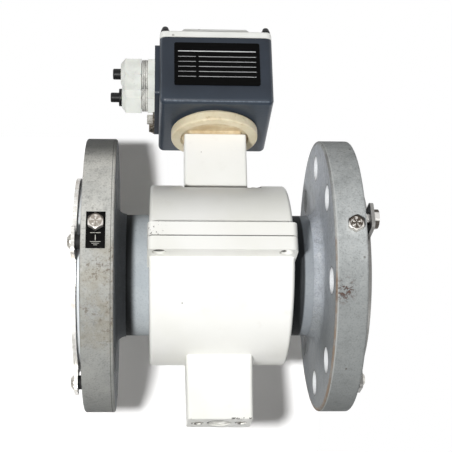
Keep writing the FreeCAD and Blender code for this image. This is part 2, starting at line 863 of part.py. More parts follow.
def chamber_plug():
    """Round plug pressed in the cover, with a ring groove in its face."""
    low = cover_plug_sink - chamber_bottom
    high = cover_thickness - chamber_bottom
    radius = cover_plug / 2
    return turned([(0, low + plug_dish), (plug_dish_bottom / 2, low + plug_dish), (plug_dish_top / 2, low),
                   (radius, low, cover_plug_round), (radius, high), (0, high)])


# Neck and collar ----------------------------------------------------------------------------

def neck_tube():
    """Rectangular neck with a foot on the seat and a narrower spigot up to its shoulder."""
    foot_top = seat_height + neck_foot
    spigot_length = neck_length - 2 * neck_spigot_step
    spigot_width = neck_width - 2 * neck_spigot_step
    body = upright_bar(neck_length, neck_width, neck_corner, neck_shoulder, neck_top)
    top_edges = [edge for edge in body.Edges if edge.BoundBox.ZMin > neck_top - 1e-3]
    body = body.makeFillet(neck_edge, top_edges)
    body = body.fuse(upright_bar(spigot_length, spigot_width, neck_corner, foot_top, neck_shoulder))
    foot = upright_bar(seat_length - 2 * hole_gap, neck_foot_width, neck_corner, seat_height, foot_top)
    ears = [rod(foot_pocket / 2 - hole_gap, spot + z_axis * seat_height, z_axis, neck_foot)
            for spot in foot_screw_places()]
    body = body.fuse([foot] + ears)
    inner_length = neck_length - 2 * neck_spigot_step - 2 * neck_wall
    inner_width = neck_width - 2 * neck_spigot_step - 2 * neck_wall
    cuts = [upright_bar(neck_length - 2 * neck_wall, neck_width - 2 * neck_wall, neck_corner,
                        neck_shoulder + neck_wall, neck_top + 1),
            upright_bar(inner_length, inner_width, neck_corner, seat_height - 1, neck_top)]
    cuts += [rod(foot_screw / 2 + hole_gap, spot + z_axis * (seat_height - 1), z_axis, neck_foot + 2)
             for spot in foot_screw_places()]
    return body.cut(Part.makeCompound(cuts)).removeSplitter()


def neck_seal():
    """Rubber frame round the spigot, between the foot and the shoulder."""
    low, high = seat_height + neck_foot, neck_shoulder
    frame = upright_bar(neck_length - 2 * neck_seal_inset, neck_width - 2 * neck_seal_inset,
                        neck_corner, low, high)
    return frame.cut(upright_bar(neck_length - 2 * neck_spigot_step + 2 * press_gap,
                                 neck_width - 2 * neck_spigot_step + 2 * press_gap,
                                 neck_corner, low - 1, high + 1))


def neck_screws():
    screw = socket_screw(foot_screw, foot_screw_head, foot_screw, foot_screw_length)
    return [placed(screw, spot + z_axis * (seat_height + neck_foot), z_axis) for spot in foot_screw_places()]


def insulating_collar():
    """Plastic collar: a round flange under the box, dished below, with a spigot into the neck."""
    ceiling = collar_bottom + collar_recess_depth
    flange_top = box_bottom - collar_neck_height
    radius, recess = collar_diameter / 2, collar_recess / 2
    body = turned([(0, ceiling), (recess - collar_recess_slope, ceiling), (recess, collar_bottom),
                   (radius, collar_bottom, collar_round), (radius, flange_top, collar_round),
                   (radius - collar_neck_step, flange_top),
                   (radius - collar_neck_step, box_bottom), (0, box_bottom)])
    spigot_length = neck_length - 2 * neck_wall - 2 * hole_gap
    spigot_width = neck_width - 2 * neck_wall - 2 * hole_gap
    body = body.fuse(upright_bar(spigot_length, spigot_width, neck_corner, neck_top - collar_spigot, ceiling))
    way = rod(sleeve_diameter / 2 + thread_gap, z_axis * (neck_top - collar_spigot - 1), z_axis, box_bottom)
    screws = [rod(collar_screw / 2 + thread_gap, spot, -z_axis, collar_screw_length - box_floor + 1)
              for spot in collar_screw_places(box_bottom)]
    return body.cut(Part.makeCompound([way] + screws)).removeSplitter()


def collar_screw_places(height):
    reach = collar_screw_circle / 2 / math.sqrt(2)
    return [Vector(x * reach, y * reach, height) for x in (-1, 1) for y in (-1, 1)]


def collar_screws():
    screw = domed_screw(collar_screw, collar_screw_head, collar_screw_dome, collar_screw_length)
    return [placed(screw, spot, z_axis) for spot in collar_screw_places(box_bottom + box_floor)]


def lead_sleeve():
    """Tube that leads the coil and electrode wires up from the neck into the box."""
    outer = sleeve_diameter / 2
    return turned([(outer - sleeve_wall, sleeve_foot), (outer, sleeve_foot), (outer, sleeve_top),
                   (outer - sleeve_wall, sleeve_top)])


# Terminal box -------------------------------------------------------------------------------

def lid_screw_places(height):
    return [Vector(x * lid_screw_place, y * lid_screw_place, height) for x in (-1, 1) for y in (-1, 1)]


def gland_places(x):
    return [Vector(x, way * gland_spacing / 2, gland_height) for way in glands.values()]


def gland_plate_screw_places():
    out = gland_plate_width / 2 - gland_plate_screw_inset_y
    rise = gland_plate_height / 2 - gland_plate_screw_inset_z
    return [Vector(-gland_face, y * out, gland_plate_centre + z * rise) for y in (-1, 1) for z in (-1, 1)]


def terminal_box():
    """Cast box, open at the top, with screw pillars in its corners and gland holes at the inlet end."""
    body = upright_bar(box_length, box_length, box_corner, box_bottom, box_rim)
    lowest = [edge for edge in body.Edges if edge.BoundBox.ZMax < box_bottom + hair]
    body = body.makeFillet(box_edge, lowest)
    inner = box_length - 2 * box_wall
    hollow = upright_bar(inner, inner, box_inner_corner, box_bottom + box_floor, box_rim + overcut)
    pillars = [rod(pillar_diameter / 2, spot, z_axis, box_rim) for spot in lid_screw_places(box_bottom)]
    body = body.cut(hollow.cut(Part.makeCompound(pillars)))
    through = box_floor + 2 * overcut
    cuts = [rod(gland_thread / 2 + hole_gap, spot, x_axis, box_wall + 2 * overcut)
            for spot in gland_places(-box_half - overcut)]
    cuts.append(rod(sleeve_diameter / 2 + hole_gap, z_axis * (box_bottom - overcut), z_axis, through))
    for spot in collar_screw_places(box_bottom - overcut):
        cuts.append(rod(collar_screw / 2 + hole_gap, spot, z_axis, through))
    for spot in lid_screw_places(box_rim + overcut):
        cuts.append(rod(lid_screw / 2 + thread_gap, spot, -z_axis, lid_screw_length))
    for spot in gland_plate_screw_places():
        cuts.append(rod(gland_plate_screw / 2 + thread_gap, spot, x_axis,
                        gland_plate_screw_length + blind_hole_spare))
    return body.cut(Part.makeCompound(cuts)).removeSplitter()


def lid_gasket():
    outer = box_length - 2 * gasket_inset
    inner = outer - 2 * lid_gasket_width
    frame = upright_bar(outer, outer, box_corner, box_rim, lid_bottom)
    frame = frame.cut(upright_bar(inner, inner, box_corner, box_rim - 1, lid_bottom + 1))
    holes = [rod(lid_screw / 2 + hole_gap, spot, z_axis, lid_thickness)
             for spot in lid_screw_places(box_rim - overcut)]
    return frame.cut(Part.makeCompound(holes))


def box_lid():
    """Lid with a raised middle panel between two bevels, level strips for the screws beside it."""
    body = upright_bar(box_length, box_length, box_corner, lid_bottom, lid_top)
    top_edges = [edge for edge in body.Edges if edge.BoundBox.ZMin > lid_top - 1e-3]
    body = body.makeFillet(lid_edge, top_edges)
    foot = rounded_wire(rectangle(panel_length, panel_width, panel_corner),
                        lambda a, b: Vector(a, b, lid_top - panel_root))
    crown_length, crown_width = panel_length - 2 * panel_bevel, panel_width - 2 * panel_bevel
    crown = rounded_wire(rectangle(crown_length, crown_width, panel_corner),
                         lambda a, b: Vector(a, b, lid_top + panel_height))
    body = body.fuse(Part.makeLoft([foot, crown], True, True))
    holes = [rod(lid_screw / 2 + hole_gap, spot, z_axis, lid_thickness + 2)
             for spot in lid_screw_places(lid_bottom - 1)]
    return body.cut(Part.makeCompound(holes)).removeSplitter()


def lid_screws():
    screw = domed_screw(lid_screw, lid_screw_head, lid_screw_dome, lid_screw_length)
    return [placed(screw, spot, z_axis) for spot in lid_screw_places(lid_top)]


def name_plate():
    wire = rounded_wire(rectangle(plate_length, plate_height, plate_corner),
                        lambda a, b: Vector(plate_centre_x + a, -box_half, plate_centre_z + b))
    return Part.Face(wire).extrude(-y_axis * plate_thickness)


def gland_plate():
    body = plate_on_x(gland_plate_width, gland_plate_height, gland_plate_corner, -box_half, -gland_face,
                      gland_plate_centre)
    cuts = [rod(gland_thread / 2 + hole_gap, spot, x_axis, gland_plate_thickness + 2)
            for spot in gland_places(-gland_face - 1)]
    sink = countersunk_form(gland_plate_screw, gland_plate_screw_head, gland_plate_thickness + 1, hole_gap)
    cuts += [placed(sink, spot, -x_axis) for spot in gland_plate_screw_places()]
    earth_hole = Vector(-gland_face - overcut, box_earth_y, box_earth_z)
    cuts.append(rod(box_earth_screw / 2 + thread_gap, earth_hole, x_axis, gland_plate_thickness + 1))
    return body.cut(Part.makeCompound(cuts))


def gland_plate_screws():
    screw = countersunk_form(gland_plate_screw, gland_plate_screw_head, gland_plate_screw_length)
    slot_length = gland_plate_screw_head + 1
    slot = Part.makeBox(gland_plate_screw_slot, slot_length, gland_plate_slot_depth,
                        Vector(-gland_plate_screw_slot / 2, -slot_length / 2, -gland_plate_slot_depth))
    return [placed(screw.cut(slot), spot, -x_axis) for spot in gland_plate_screw_places()]


def block_places():
    """Middle of each pole of the terminal block."""
    first = -(block_poles - 1) / 2 * block_pitch
    return [Vector(first + i * block_pitch, block_y, box_bottom + box_floor) for i in range(block_poles)]


def terminal_block():
    """Moulded block with a rib between each two poles and a screw well in each pole."""
    low = box_bottom + box_floor
    length = block_poles * block_pitch + 2 * block_end
    body = upright_bar(length, block_width, 0, low, low + block_height)
    body.translate(y_axis * block_y)
    cuts = []
    for spot in block_places():
        corner = spot + Vector((block_rib - block_pitch) / 2, -block_width / 2 - 1, block_floor)
        cuts.append(Part.makeBox(block_pitch - block_rib, block_width + 2, block_height, corner))
    body = body.cut(Part.makeCompound(cuts))
    wells = [rod(block_screw / 2 + thread_gap, spot + z_axis, z_axis, block_floor) for spot in block_places()]
    return body.cut(Part.makeCompound(wells))


def terminal_screws():
    screw = domed_screw(block_screw, block_screw_head, block_screw_dome, block_floor - block_screw_end_gap,
                         block_screw_slot)
    return [placed(screw, spot + z_axis * block_floor, z_axis) for spot in block_places()]


# Cable glands -------------------------------------------------------------------------------

def on_gland(shape, way, spin=0.0):
    """Set a piece made along +Z from the gland plate on its gland's axis, pointing out of the box."""
    return placed(shape, Vector(-gland_face, way * gland_spacing / 2, gland_height), -x_axis, spin)


def gland_body():
    """Hexagon base, thread through the wall and a spigot under the nut, bored for the cable."""
    wall = gland_plate_thickness + box_wall
    back = -(wall + locknut_height + 1)
    hexagon_base = chamfered_hexagon(gland_hex, 0, gland_base, 0, gland_chamfer)
    core = turned([(gland_bore / 2, back), (gland_thread / 2, back), (gland_thread / 2, gland_base / 2),
                   (gland_shoulder / 2, gland_base / 2), (gland_shoulder / 2, nut_start - gland_shoulder_gap),
                   (gland_spigot / 2, nut_start - gland_shoulder_gap),
                   (gland_spigot / 2, gland_base + gland_spigot_length),
                   (gland_bore / 2, gland_base + gland_spigot_length)])
    body = hexagon_base.fuse(core)
    pocket = rod(seal_diameter / 2 + press_gap, z_axis * seal_start, z_axis, dome_end)
    return body.cut(Part.makeCompound([rod(gland_bore / 2, z_axis * (back - 1), z_axis, dome_end), pocket]))


def gland_locknut():
    wall = gland_plate_thickness + box_wall
    nut = chamfered_hexagon(locknut_flats, -wall - locknut_height, -wall, gland_chamfer, 0)
    return nut.cut(rod(gland_thread / 2 + thread_gap, z_axis * (-wall - locknut_height - 1), z_axis,
                       wall + locknut_height))


def gland_cap(hole):
    """Cap nut: hexagon with a dome turned on its end and a hole for the cable."""
    outline = chamfered_hexagon(gland_hex, nut_start, nut_end, gland_chamfer, cap_chamfer)
    root, crest = gland_hex / 2 - dome_step, gland_hex / 2 - dome_taper
    dome = turned([(0, nut_end - 1), (root, nut_end - 1), (root, nut_end), (crest, dome_end, dome_round),
                   (0, dome_end)])
    cavity = turned([(0, nut_start - 1), (gland_spigot / 2 + thread_gap, nut_start - 1),
                     (gland_spigot / 2 + thread_gap, gland_base + gland_spigot_length + 1),
                     (hole + cap_wall, dome_end - cap_wall), (0, dome_end - cap_wall)])
    cable_hole = rod(hole, z_axis * nut_end, z_axis, gland_dome + 1)
    return outline.fuse(dome).cut(cavity).cut(cable_hole).removeSplitter()


def gland_seal(plug):
    """Rubber ring squeezed round the blanking plug inside the cap nut."""
    inner, seal_end = plug / 2 + press_gap, seal_start + seal_length
    return turned([(inner, seal_start), (seal_diameter / 2, seal_start), (seal_diameter / 2, seal_end),
                   (inner, seal_end)])


def front_blank_plug():
    radius = front_plug / 2
    plug_end = dome_end + front_plug_out
    return turned([(0, seal_start), (radius, seal_start), (radius, plug_end, blank_plug_round),
                   (0, plug_end)])


def rear_blank_plug():
    radius = rear_plug / 2
    collar_end = dome_end + rear_plug_collar_thickness
    return turned([(0, seal_start), (radius, seal_start), (radius, dome_end),
                   (rear_plug_collar / 2, dome_end, plug_collar_inner_round),
                   (rear_plug_collar / 2, collar_end, plug_collar_outer_round), (radius, collar_end),
                   (radius, dome_end + rear_plug_out, blank_plug_round), (0, dome_end + rear_plug_out)])


# Earth terminals ----------------------------------------------------------------------------

def rim_screw(side):
    seat = flange_radius + (label_thickness if side < 0 else 0) + press_gap
    screw = hex_screw(earth_screw, earth_screw_flats, earth_screw_head, earth_screw_length)
    return placed(screw, Vector(side * rim_screw_x(side), -seat, 0), -y_axis, earth_screw_turn)


def earth_label():
    """Thin label bent round the inlet flange's rim, under its earth screw."""
    inner = flange_radius + press_gap
    above = math.degrees(label_above / flange_radius)
    below = math.degrees(label_below / flange_radius)
    middle = -rim_screw_x(-1)
    low, high = middle - label_width / 2, middle + label_width / 2
    strip = turned_x([(low, inner), (high, inner), (high, inner + label_thickness),
                      (low, inner + label_thickness)], above + below)
    strip = around_x(strip, 180 - above)
    hole_start = Vector(middle, -flange_radius - 2 * overcut, 0)
    return strip.cut(rod(earth_screw / 2 + hole_gap, hole_start, y_axis, 4 * overcut))


def box_earth_clamp():
    """Bent strap that grips the earth wire, flat under its screw and arched beside it."""
    t, lift = clamp_thickness, clamp_lift
    rise = clamp_flat + clamp_slope
    fall = rise + clamp_saddle
    toe = fall + clamp_slope
    end = toe + clamp_toe
    section = [(-clamp_tail, 0), (clamp_flat, 0), (rise, lift), (fall, lift), (toe, 0), (end, 0), (end, t),
               (toe + clamp_skew, t), (fall + clamp_skew, lift + t, clamp_round),
               (rise - clamp_skew, lift + t, clamp_round), (clamp_flat - clamp_skew, t), (-clamp_tail, t)]
    low_side = box_earth_z - clamp_width / 2
    wire = rounded_wire(section, lambda a, b: Vector(-gland_face - b, box_earth_y + a, low_side))
    strap = Part.Face(wire).extrude(z_axis * clamp_width)
    hole_start = Vector(-gland_face - 3 * overcut, box_earth_y, box_earth_z)
    return strap.cut(rod(box_earth_screw / 2 + hole_gap, hole_start, x_axis, 4 * overcut))


def box_earth_terminal_screw():
    screw = hex_screw(box_earth_screw, box_earth_screw_flats, box_earth_screw_head, box_earth_screw_length)
    return placed(screw, Vector(-gland_face - clamp_thickness, box_earth_y, box_earth_z), -x_axis,
                  box_earth_screw_turn)


# Nodes --------------------------------------------------------------------------------------

save("measuring_tube", measuring_tube())
save("liner", liner())
for name, side in sides.items():
    save(f"{name}_flange", flange(side))
    save(f"{name}_earthing_ring", earthing_ring(side))
    save(f"{name}_earth_screw", rim_screw(side))
save("ring_spacers", ring_spacers())
save("ring_screws", ring_screws())
save("ring_earth_bolt", ring_earth_bolt())
save("earth_label", earth_label())

save("electrodes", front_and_back(electrode()))
save("electrode_bushings", front_and_back(electrode_bushing()))
save("electrode_nuts", front_and_back(electrode_nut()))
save("upper_coil", coil())
save("lower_coil", around_x(coil(), 180))
save("upper_pole_shoe", pole_shoe())
save("lower_pole_shoe", around_x(pole_shoe(), 180))

save("upper_shell", upper_shell())
save("lower_shell", lower_shell())
save("shell_gasket", shell_gasket())
save("shell_screws", shell_screws())
save("coil_cover", coil_cover())
save("cover_screws", cover_screws())
save("cover_plug", chamber_plug())

save("neck_tube", neck_tube())
save("neck_seal", neck_seal())
save("neck_screws", neck_screws())
save("insulating_collar", insulating_collar())
save("collar_screws", collar_screws())
save("lead_sleeve", lead_sleeve())

save("terminal_box", terminal_box())
save("lid_gasket", lid_gasket())
save("box_lid", box_lid())
save("lid_screws", lid_screws())
save("name_plate", name_plate())
save("gland_plate", gland_plate())
save("gland_plate_screws", gland_plate_screws())
save("terminal_block", terminal_block())
save("terminal_screws", terminal_screws())
save("box_earth_clamp", box_earth_clamp())
save("box_earth_screw", box_earth_terminal_screw())

plugs = {"front": (front_plug, front_blank_plug()), "rear": (rear_plug, rear_blank_plug())}
for name, way in glands.items():
    diameter, blank = plugs[name]
    save(f"{name}_gland_body", on_gland(gland_body(), way))
    save(f"{name}_gland_locknut", on_gland(gland_locknut(), way))
    save(f"{name}_gland_cap", on_gland(gland_cap(diameter / 2 + hole_gap), way))
    save(f"{name}_gland_seal", on_gland(gland_seal(diameter), way))
    save(f"{name}_blank_plug", on_gland(blank, way))
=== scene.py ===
import math

import bmesh
import bpy
from mathutils import Matrix, Vector


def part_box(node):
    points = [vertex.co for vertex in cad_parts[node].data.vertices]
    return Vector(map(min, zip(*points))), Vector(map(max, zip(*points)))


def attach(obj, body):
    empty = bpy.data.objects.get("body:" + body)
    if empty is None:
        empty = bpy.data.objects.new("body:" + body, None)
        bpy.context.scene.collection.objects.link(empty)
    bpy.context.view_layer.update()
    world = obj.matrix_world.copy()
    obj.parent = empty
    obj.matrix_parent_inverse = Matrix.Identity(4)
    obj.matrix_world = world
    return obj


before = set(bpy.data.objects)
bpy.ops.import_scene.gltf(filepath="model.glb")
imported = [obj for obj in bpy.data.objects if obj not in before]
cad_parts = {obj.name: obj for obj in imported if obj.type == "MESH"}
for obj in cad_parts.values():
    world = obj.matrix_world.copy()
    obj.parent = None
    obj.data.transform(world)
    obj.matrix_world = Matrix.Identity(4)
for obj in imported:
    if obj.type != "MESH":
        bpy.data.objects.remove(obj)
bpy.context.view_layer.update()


# Flanges ------------------------------------------------------------------------------------
# Two forged steel flanges, welded to the ends of the measuring tube and coated zinc grey.
# The coating is mottled and pitted; the rims carry brown and olive stains and small rust spots.
# The two classes join the nodes of this coating, and of every other material further down.

class Term:
    """A shader socket that Python's operators join to others with Math nodes."""

    def __init__(self, finish, socket):
        self.finish, self.socket = finish, socket

    def join(self, operation, *others, first=None):
        values = [other.socket if isinstance(other, Term) else other for other in others]
        values = [self.socket] + values if first is None else [first, self.socket]
        node = self.finish.node("ShaderNodeMath", {"operation": operation}, dict(enumerate(values)))
        return Term(self.finish, node.outputs[0])

    def __add__(self, other):
        return self.join("ADD", other)

    def __sub__(self, other):
        return self.join("SUBTRACT", other)

    def __mul__(self, other):
        return self.join("MULTIPLY", other)

    def __rsub__(self, other):
        return self.join("SUBTRACT", first=other)

    __radd__ = __add__
    __rmul__ = __mul__

    def size(self):
        return self.join("ABSOLUTE")

    def highest(self, other):
        return self.join("MAXIMUM", other)

    def rise(self, low, high):
        """0 below low, 1 above high and a smooth step between them."""
        settings = {"interpolation_type": "SMOOTHSTEP"}
        inputs = {"Value": self, "From Min": low, "From Max": high}
        node = self.finish.node("ShaderNodeMapRange", settings, inputs)
        return Term(self.finish, node.outputs[0])

    def fall(self, low, high):
        return 1 - self.rise(low, high)

    def band(self, low, high, edge):
        """1 between low and high, 0 an edge beyond them."""
        return self.rise(low - edge, low) * self.fall(high, high + edge)


class Finish:
    """A material with one Principled shader and patterns that follow the object's own coordinates."""

    def __init__(self, name, **constants):
        self.material = bpy.data.materials.new(name)
        self.material.use_nodes = True
        self.tree = self.material.node_tree
        self.shader = self.tree.nodes["Principled BSDF"]
        self.place = self.node("ShaderNodeTexCoord").outputs["Object"]
        for socket, value in constants.items():
            self.shader.inputs[socket.replace("_", " ")].default_value = value

    def node(self, kind, settings=None, inputs=None):
        made = self.tree.nodes.new(kind)
        for name, value in (settings or {}).items():
            setattr(made, name, value)
        for name, value in (inputs or {}).items():
            value = value.socket if isinstance(value, Term) else value
            if isinstance(value, bpy.types.NodeSocket):
                self.tree.links.new(value, made.inputs[name])
            else:
                made.inputs[name].default_value = value
        return made

    def vector(self, operation, *values):
        return self.node("ShaderNodeVectorMath", {"operation": operation}, dict(enumerate(values)))

    def along(self, axis):
        parts = self.node("ShaderNodeSeparateXYZ", inputs={"Vector": self.place})
        return Term(self, parts.outputs[axis])

    def radius(self, centre=(0, 0, 0), across=(0, 1, 1)):
        """Distance from a line through centre, where across is 1 for the two directions that count."""
        shifted = self.vector("SUBTRACT", self.place, centre)
        flat = self.vector("MULTIPLY", shifted.outputs[0], across)
        return Term(self, self.vector("LENGTH", flat.outputs[0]).outputs[1])

    def noise(self, scale, detail=3.0, roughness=0.55, stretch=None):
        place = self.place
        if stretch:
            place = self.vector("MULTIPLY", place, stretch).outputs[0]
        inputs = {"Vector": place, "Scale": scale, "Detail": detail, "Roughness": roughness}
        return Term(self, self.node("ShaderNodeTexNoise", inputs=inputs).outputs[0])

    def specks(self, scale, size, share):
        """Round dots in some of the cells of a random pattern."""
        cells = self.node("ShaderNodeTexVoronoi", inputs={"Vector": self.place, "Scale": scale})
        chance = self.node("ShaderNodeSeparateColor", inputs={"Color": cells.outputs["Color"]})
        near = Term(self, cells.outputs["Distance"]).fall(size * 0.5, size)
        return near * Term(self, chance.outputs[0]).fall(share, share + 0.02)

    def mixed(self, share, first, second):
        """Colour that goes from first to second as share goes from 0 to 1."""
        node = self.node("ShaderNodeMix", {"data_type": "RGBA"}, {0: share, 6: first, 7: second})
        return node.outputs[2]

    def roughness(self, term):
        self.tree.links.new(term.socket, self.shader.inputs["Roughness"])

    def colour(self, socket):
        self.tree.links.new(socket, self.shader.inputs["Base Color"])

    def bumps(self, height, distance):
        bump = self.node("ShaderNodeBump", inputs={"Height": height, "Distance": distance})
        self.tree.links.new(bump.outputs[0], self.shader.inputs["Normal"])


def tone(red, green, blue):
    """Linear colour from the usual 0 to 255 values."""
    parts = [value / 255 for value in (red, green, blue)]
    return tuple(p / 12.92 if p <= 0.04045 else ((p + 0.055) / 1.055) ** 2.4 for p in parts) + (1.0,)


def dress(finish, *names):
    for name in names:
        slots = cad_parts[name].data.materials
        if not slots:
            slots.append(finish.material)
        for index in range(len(slots)):
            slots[index] = finish.material


flange_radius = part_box("inlet_flange")[1].z
rim_depth = 0.002
blend = 0.0005
rim_inner_x = 0.0735
groove_x = rim_inner_x + 0.0019
groove_width = 0.0002
groove_blend = 0.0003
pale_line_x = rim_inner_x + 0.0014
pale_line_width = 0.0004
edge_line_x = rim_inner_x - 0.0003
edge_line_width = 0.0012
line_blend = 0.0004
bolt_holes = 8
bolt_circle_radius = 0.08
bolt_hole_wall = 0.0091
hole_wall_blend = 0.00005
hole_stain = 0.0007
rust_place = (0.0795, 0, -0.043)

zinc = Finish("zinc_grey_coating", Specular_IOR_Level=0.06)
side = zinc.along(0)
height = zinc.along(2)
from_axis = zinc.radius()
rim = from_axis.rise(flange_radius - rim_depth - blend, flange_radius - rim_depth + blend)
inlet = side.fall(-2 * blend, 2 * blend)
inlet_rim = rim * inlet
cloudy = zinc.noise(24, 5, 0.6)
mottle = zinc.noise(160, 5, 0.7)
grain = zinc.noise(850, 3, 0.7)
# Painted light: the inlet rim is lighter than the outlet rim.
rim_coat = zinc.mixed(inlet, tone(190, 194, 194), tone(224, 223, 216))
coat = zinc.mixed(rim, tone(174, 179, 187), rim_coat)
coat = zinc.mixed(cloudy.fall(0.3, 0.66) * 0.5, coat, tone(140, 144, 144))
coat = zinc.mixed(mottle.rise(0.5, 0.72) * 0.4, coat, tone(206, 207, 204))
coat = zinc.mixed(mottle.fall(0.3, 0.5) * 0.35, coat, tone(118, 119, 117))
coat = zinc.mixed(grain.fall(0.32, 0.5) * 0.4, coat, tone(98, 98, 94))
coat = zinc.mixed(grain.rise(0.55, 0.75) * 0.35, coat, tone(222, 223, 220))
# Darker towards the bottom; painted shade darkens the top of the inlet flange.
coat = zinc.mixed(height.fall(-0.065, 0.0) * 0.62, coat, tone(112, 115, 114))
coat = zinc.mixed(height.rise(0.046, 0.072) * inlet * 0.8, coat, tone(60, 64, 64))
coat = zinc.mixed((1 - rim) * inlet * 0.8, coat, tone(96, 100, 104))

# The inlet flange's faces, above, and the back half of the outlet flange's inner face have a
# darker tone, which stands in for shade. The bolt holes have stained edges, and their pale walls
# are painted light for the bright table seen through them.
back_half = zinc.along(1).rise(0.02, 0.08) * (1 - rim) * (1 - inlet)
back_half = back_half * side.fall(rim_inner_x, rim_inner_x + 2 * blend)
coat = zinc.mixed(back_half * 0.5, coat, tone(84, 88, 94))
hole_pitch = math.tau / bolt_holes
around = height.join("ARCTAN2", zinc.along(1)) * (1 / hole_pitch)
folded = (around.join("FRACT") - 0.5) * hole_pitch
hole_side = from_axis * folded.join("SINE")
hole_up = from_axis * folded.join("COSINE") - bolt_circle_radius
from_hole = (hole_side * hole_side + hole_up * hole_up).join("SQRT")
hole_edge = from_hole.band(bolt_hole_wall, bolt_hole_wall + hole_stain, line_blend)
coat = zinc.mixed(hole_edge * mottle.rise(0.4, 0.55) * 0.5, coat, tone(92, 88, 84))
# Painted light: the bolt holes' walls are pale, for the bright table seen through them.
hole_wall = from_hole.fall(bolt_hole_wall - hole_wall_blend, bolt_hole_wall)
coat = zinc.mixed(hole_wall * 0.75, coat, tone(232, 234, 235))

# Stains, the turned groove and worn edge of the rims, and rust.
olive = zinc.noise(46, 6, 0.75).rise(0.42, 0.6) * height.band(-0.068, -0.018, 0.016)
coat = zinc.mixed(olive * inlet_rim * 0.35, coat, tone(140, 130, 106))
brown = zinc.noise(300, 6, 0.75).rise(0.52, 0.62) * zinc.noise(50, 3).rise(0.42, 0.56)
brown = brown * height.band(-0.07, -0.014, 0.01) * inlet_rim
coat = zinc.mixed(brown * 0.65, coat, tone(98, 82, 64))
groove = side.size().band(groove_x, groove_x + groove_width, groove_blend) * rim
coat = zinc.mixed(groove * inlet * 0.7, coat, tone(74, 72, 68))
edge_line = side.band(edge_line_x, edge_line_x + edge_line_width, line_blend)
edge_line = edge_line * from_axis.rise(flange_radius - rim_depth - 3 * blend,
                                       flange_radius - rim_depth + blend)
edge_wear = zinc.noise(60, 4).rise(0.4, 0.58)
edge_colour = zinc.mixed(height.fall(-0.03, 0.02), tone(104, 102, 100), tone(132, 106, 82))
coat = zinc.mixed(edge_line * (0.3 + edge_wear * 0.4), coat, edge_colour)
pale_line = side.band(pale_line_x, pale_line_x + pale_line_width, line_blend) * rim
coat = zinc.mixed(pale_line * 0.3, coat, tone(222, 222, 218))
rust_near = zinc.radius(rust_place, (1, 0, 1)).fall(0.002, 0.011) * rim * (1 - inlet)
rust = zinc.noise(330, 5, 0.75).rise(0.5, 0.58) * rust_near
coat = zinc.mixed(rust * 0.85, coat, tone(92, 62, 50))
stray = zinc.specks(120, 0.13, 0.1) * rim
coat = zinc.mixed(stray * 0.7, coat, tone(76, 64, 54))
zinc.colour(coat)
zinc.roughness(0.55 + cloudy * 0.16 + rust * 0.2)
zinc.bumps(grain * 0.5 + mottle * 0.5 - rust * 0.6, 0.0004)
dress(zinc, "inlet_flange", "outlet_flange")


# Measuring tube -----------------------------------------------------------------------------
# Seamless stainless tube between the flanges, blasted and coated light grey, so it looks
# grainy and a little bluer than the flanges. Painted shade darkens it between the housing and
# each flange, and is nearly black next to the inlet weld and next to the housing.

inlet_weld_shade = (-0.0635, -0.0585)
inlet_shade = (-0.04, -0.03)
housing_end = (0.049, 0.05)
outlet_shade_limit = (0.0595, 0.061)

tube_coat = Finish("blasted_tube_coating", Specular_IOR_Level=0.06)
tube_grain = tube_coat.noise(700, 4, 0.7)
tube_cloud = tube_coat.noise(34, 4)
length = tube_coat.along(0)
coat = tube_coat.mixed(tube_cloud.rise(0.3, 0.7), tone(190, 197, 201), tone(212, 218, 220))
coat = tube_coat.mixed(tube_grain.fall(0.3, 0.5) * 0.4, coat, tone(140, 148, 154))
coat = tube_coat.mixed(tube_coat.specks(300, 0.2, 0.12) * 0.5, coat, tone(98, 98, 98))
# Painted shade on both ends, nearly black next to the inlet weld and the housing.
coat = tube_coat.mixed(length.fall(*inlet_shade) * 0.35, coat, tone(112, 118, 124))
coat = tube_coat.mixed(length.fall(*inlet_weld_shade) * 0.95, coat, tone(16, 17, 18))
outlet_side_shade = length.rise(*housing_end)
coat = tube_coat.mixed(outlet_side_shade * 0.7, coat, tone(112, 116, 122))
coat = tube_coat.mixed(outlet_side_shade * length.fall(*outlet_shade_limit) * 0.9, coat, tone(18, 19, 20))
tube_coat.colour(coat)
tube_coat.roughness(0.5 + tube_cloud * 0.15)
tube_coat.bumps(tube_grain, 0.0003)
dress(tube_coat, "measuring_tube")


# Liner --------------------------------------------------------------------------------------
# White PTFE sleeve, drawn through the tube and flared over both flange faces, where the
# earthing rings hold it. It is smooth, with a few specks of soil.

ptfe = Finish("white_ptfe", Specular_IOR_Level=0.35, Subsurface_Weight=0.05)
liner_cloud = ptfe.noise(30, 3)
ptfe_colour = ptfe.mixed(liner_cloud.rise(0.35, 0.7), tone(238, 240, 240), tone(224, 227, 228))
ptfe_colour = ptfe.mixed(ptfe.specks(160, 0.2, 0.15) * 0.4, ptfe_colour, tone(150, 145, 135))
ptfe.colour(ptfe_colour)
ptfe.roughness(0.3 + liner_cloud * 0.18)
ptfe.bumps(ptfe.noise(220, 2), 0.00008)
dress(ptfe, "liner")


# Earthing rings -----------------------------------------------------------------------------
# Flat stainless rings that touch the liquid at each end, with tabs for their screws. They are
# laser cut from sheet, so their faces are lightly brushed; handling has left brown marks. The
# outlet ring is darker, a painted dark reflection, and the inlet ring's outer face has a darker
# tone than the inlet ring's edge.

inlet_face_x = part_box("inlet_earthing_ring")[0].x
face_depth = 0.00005

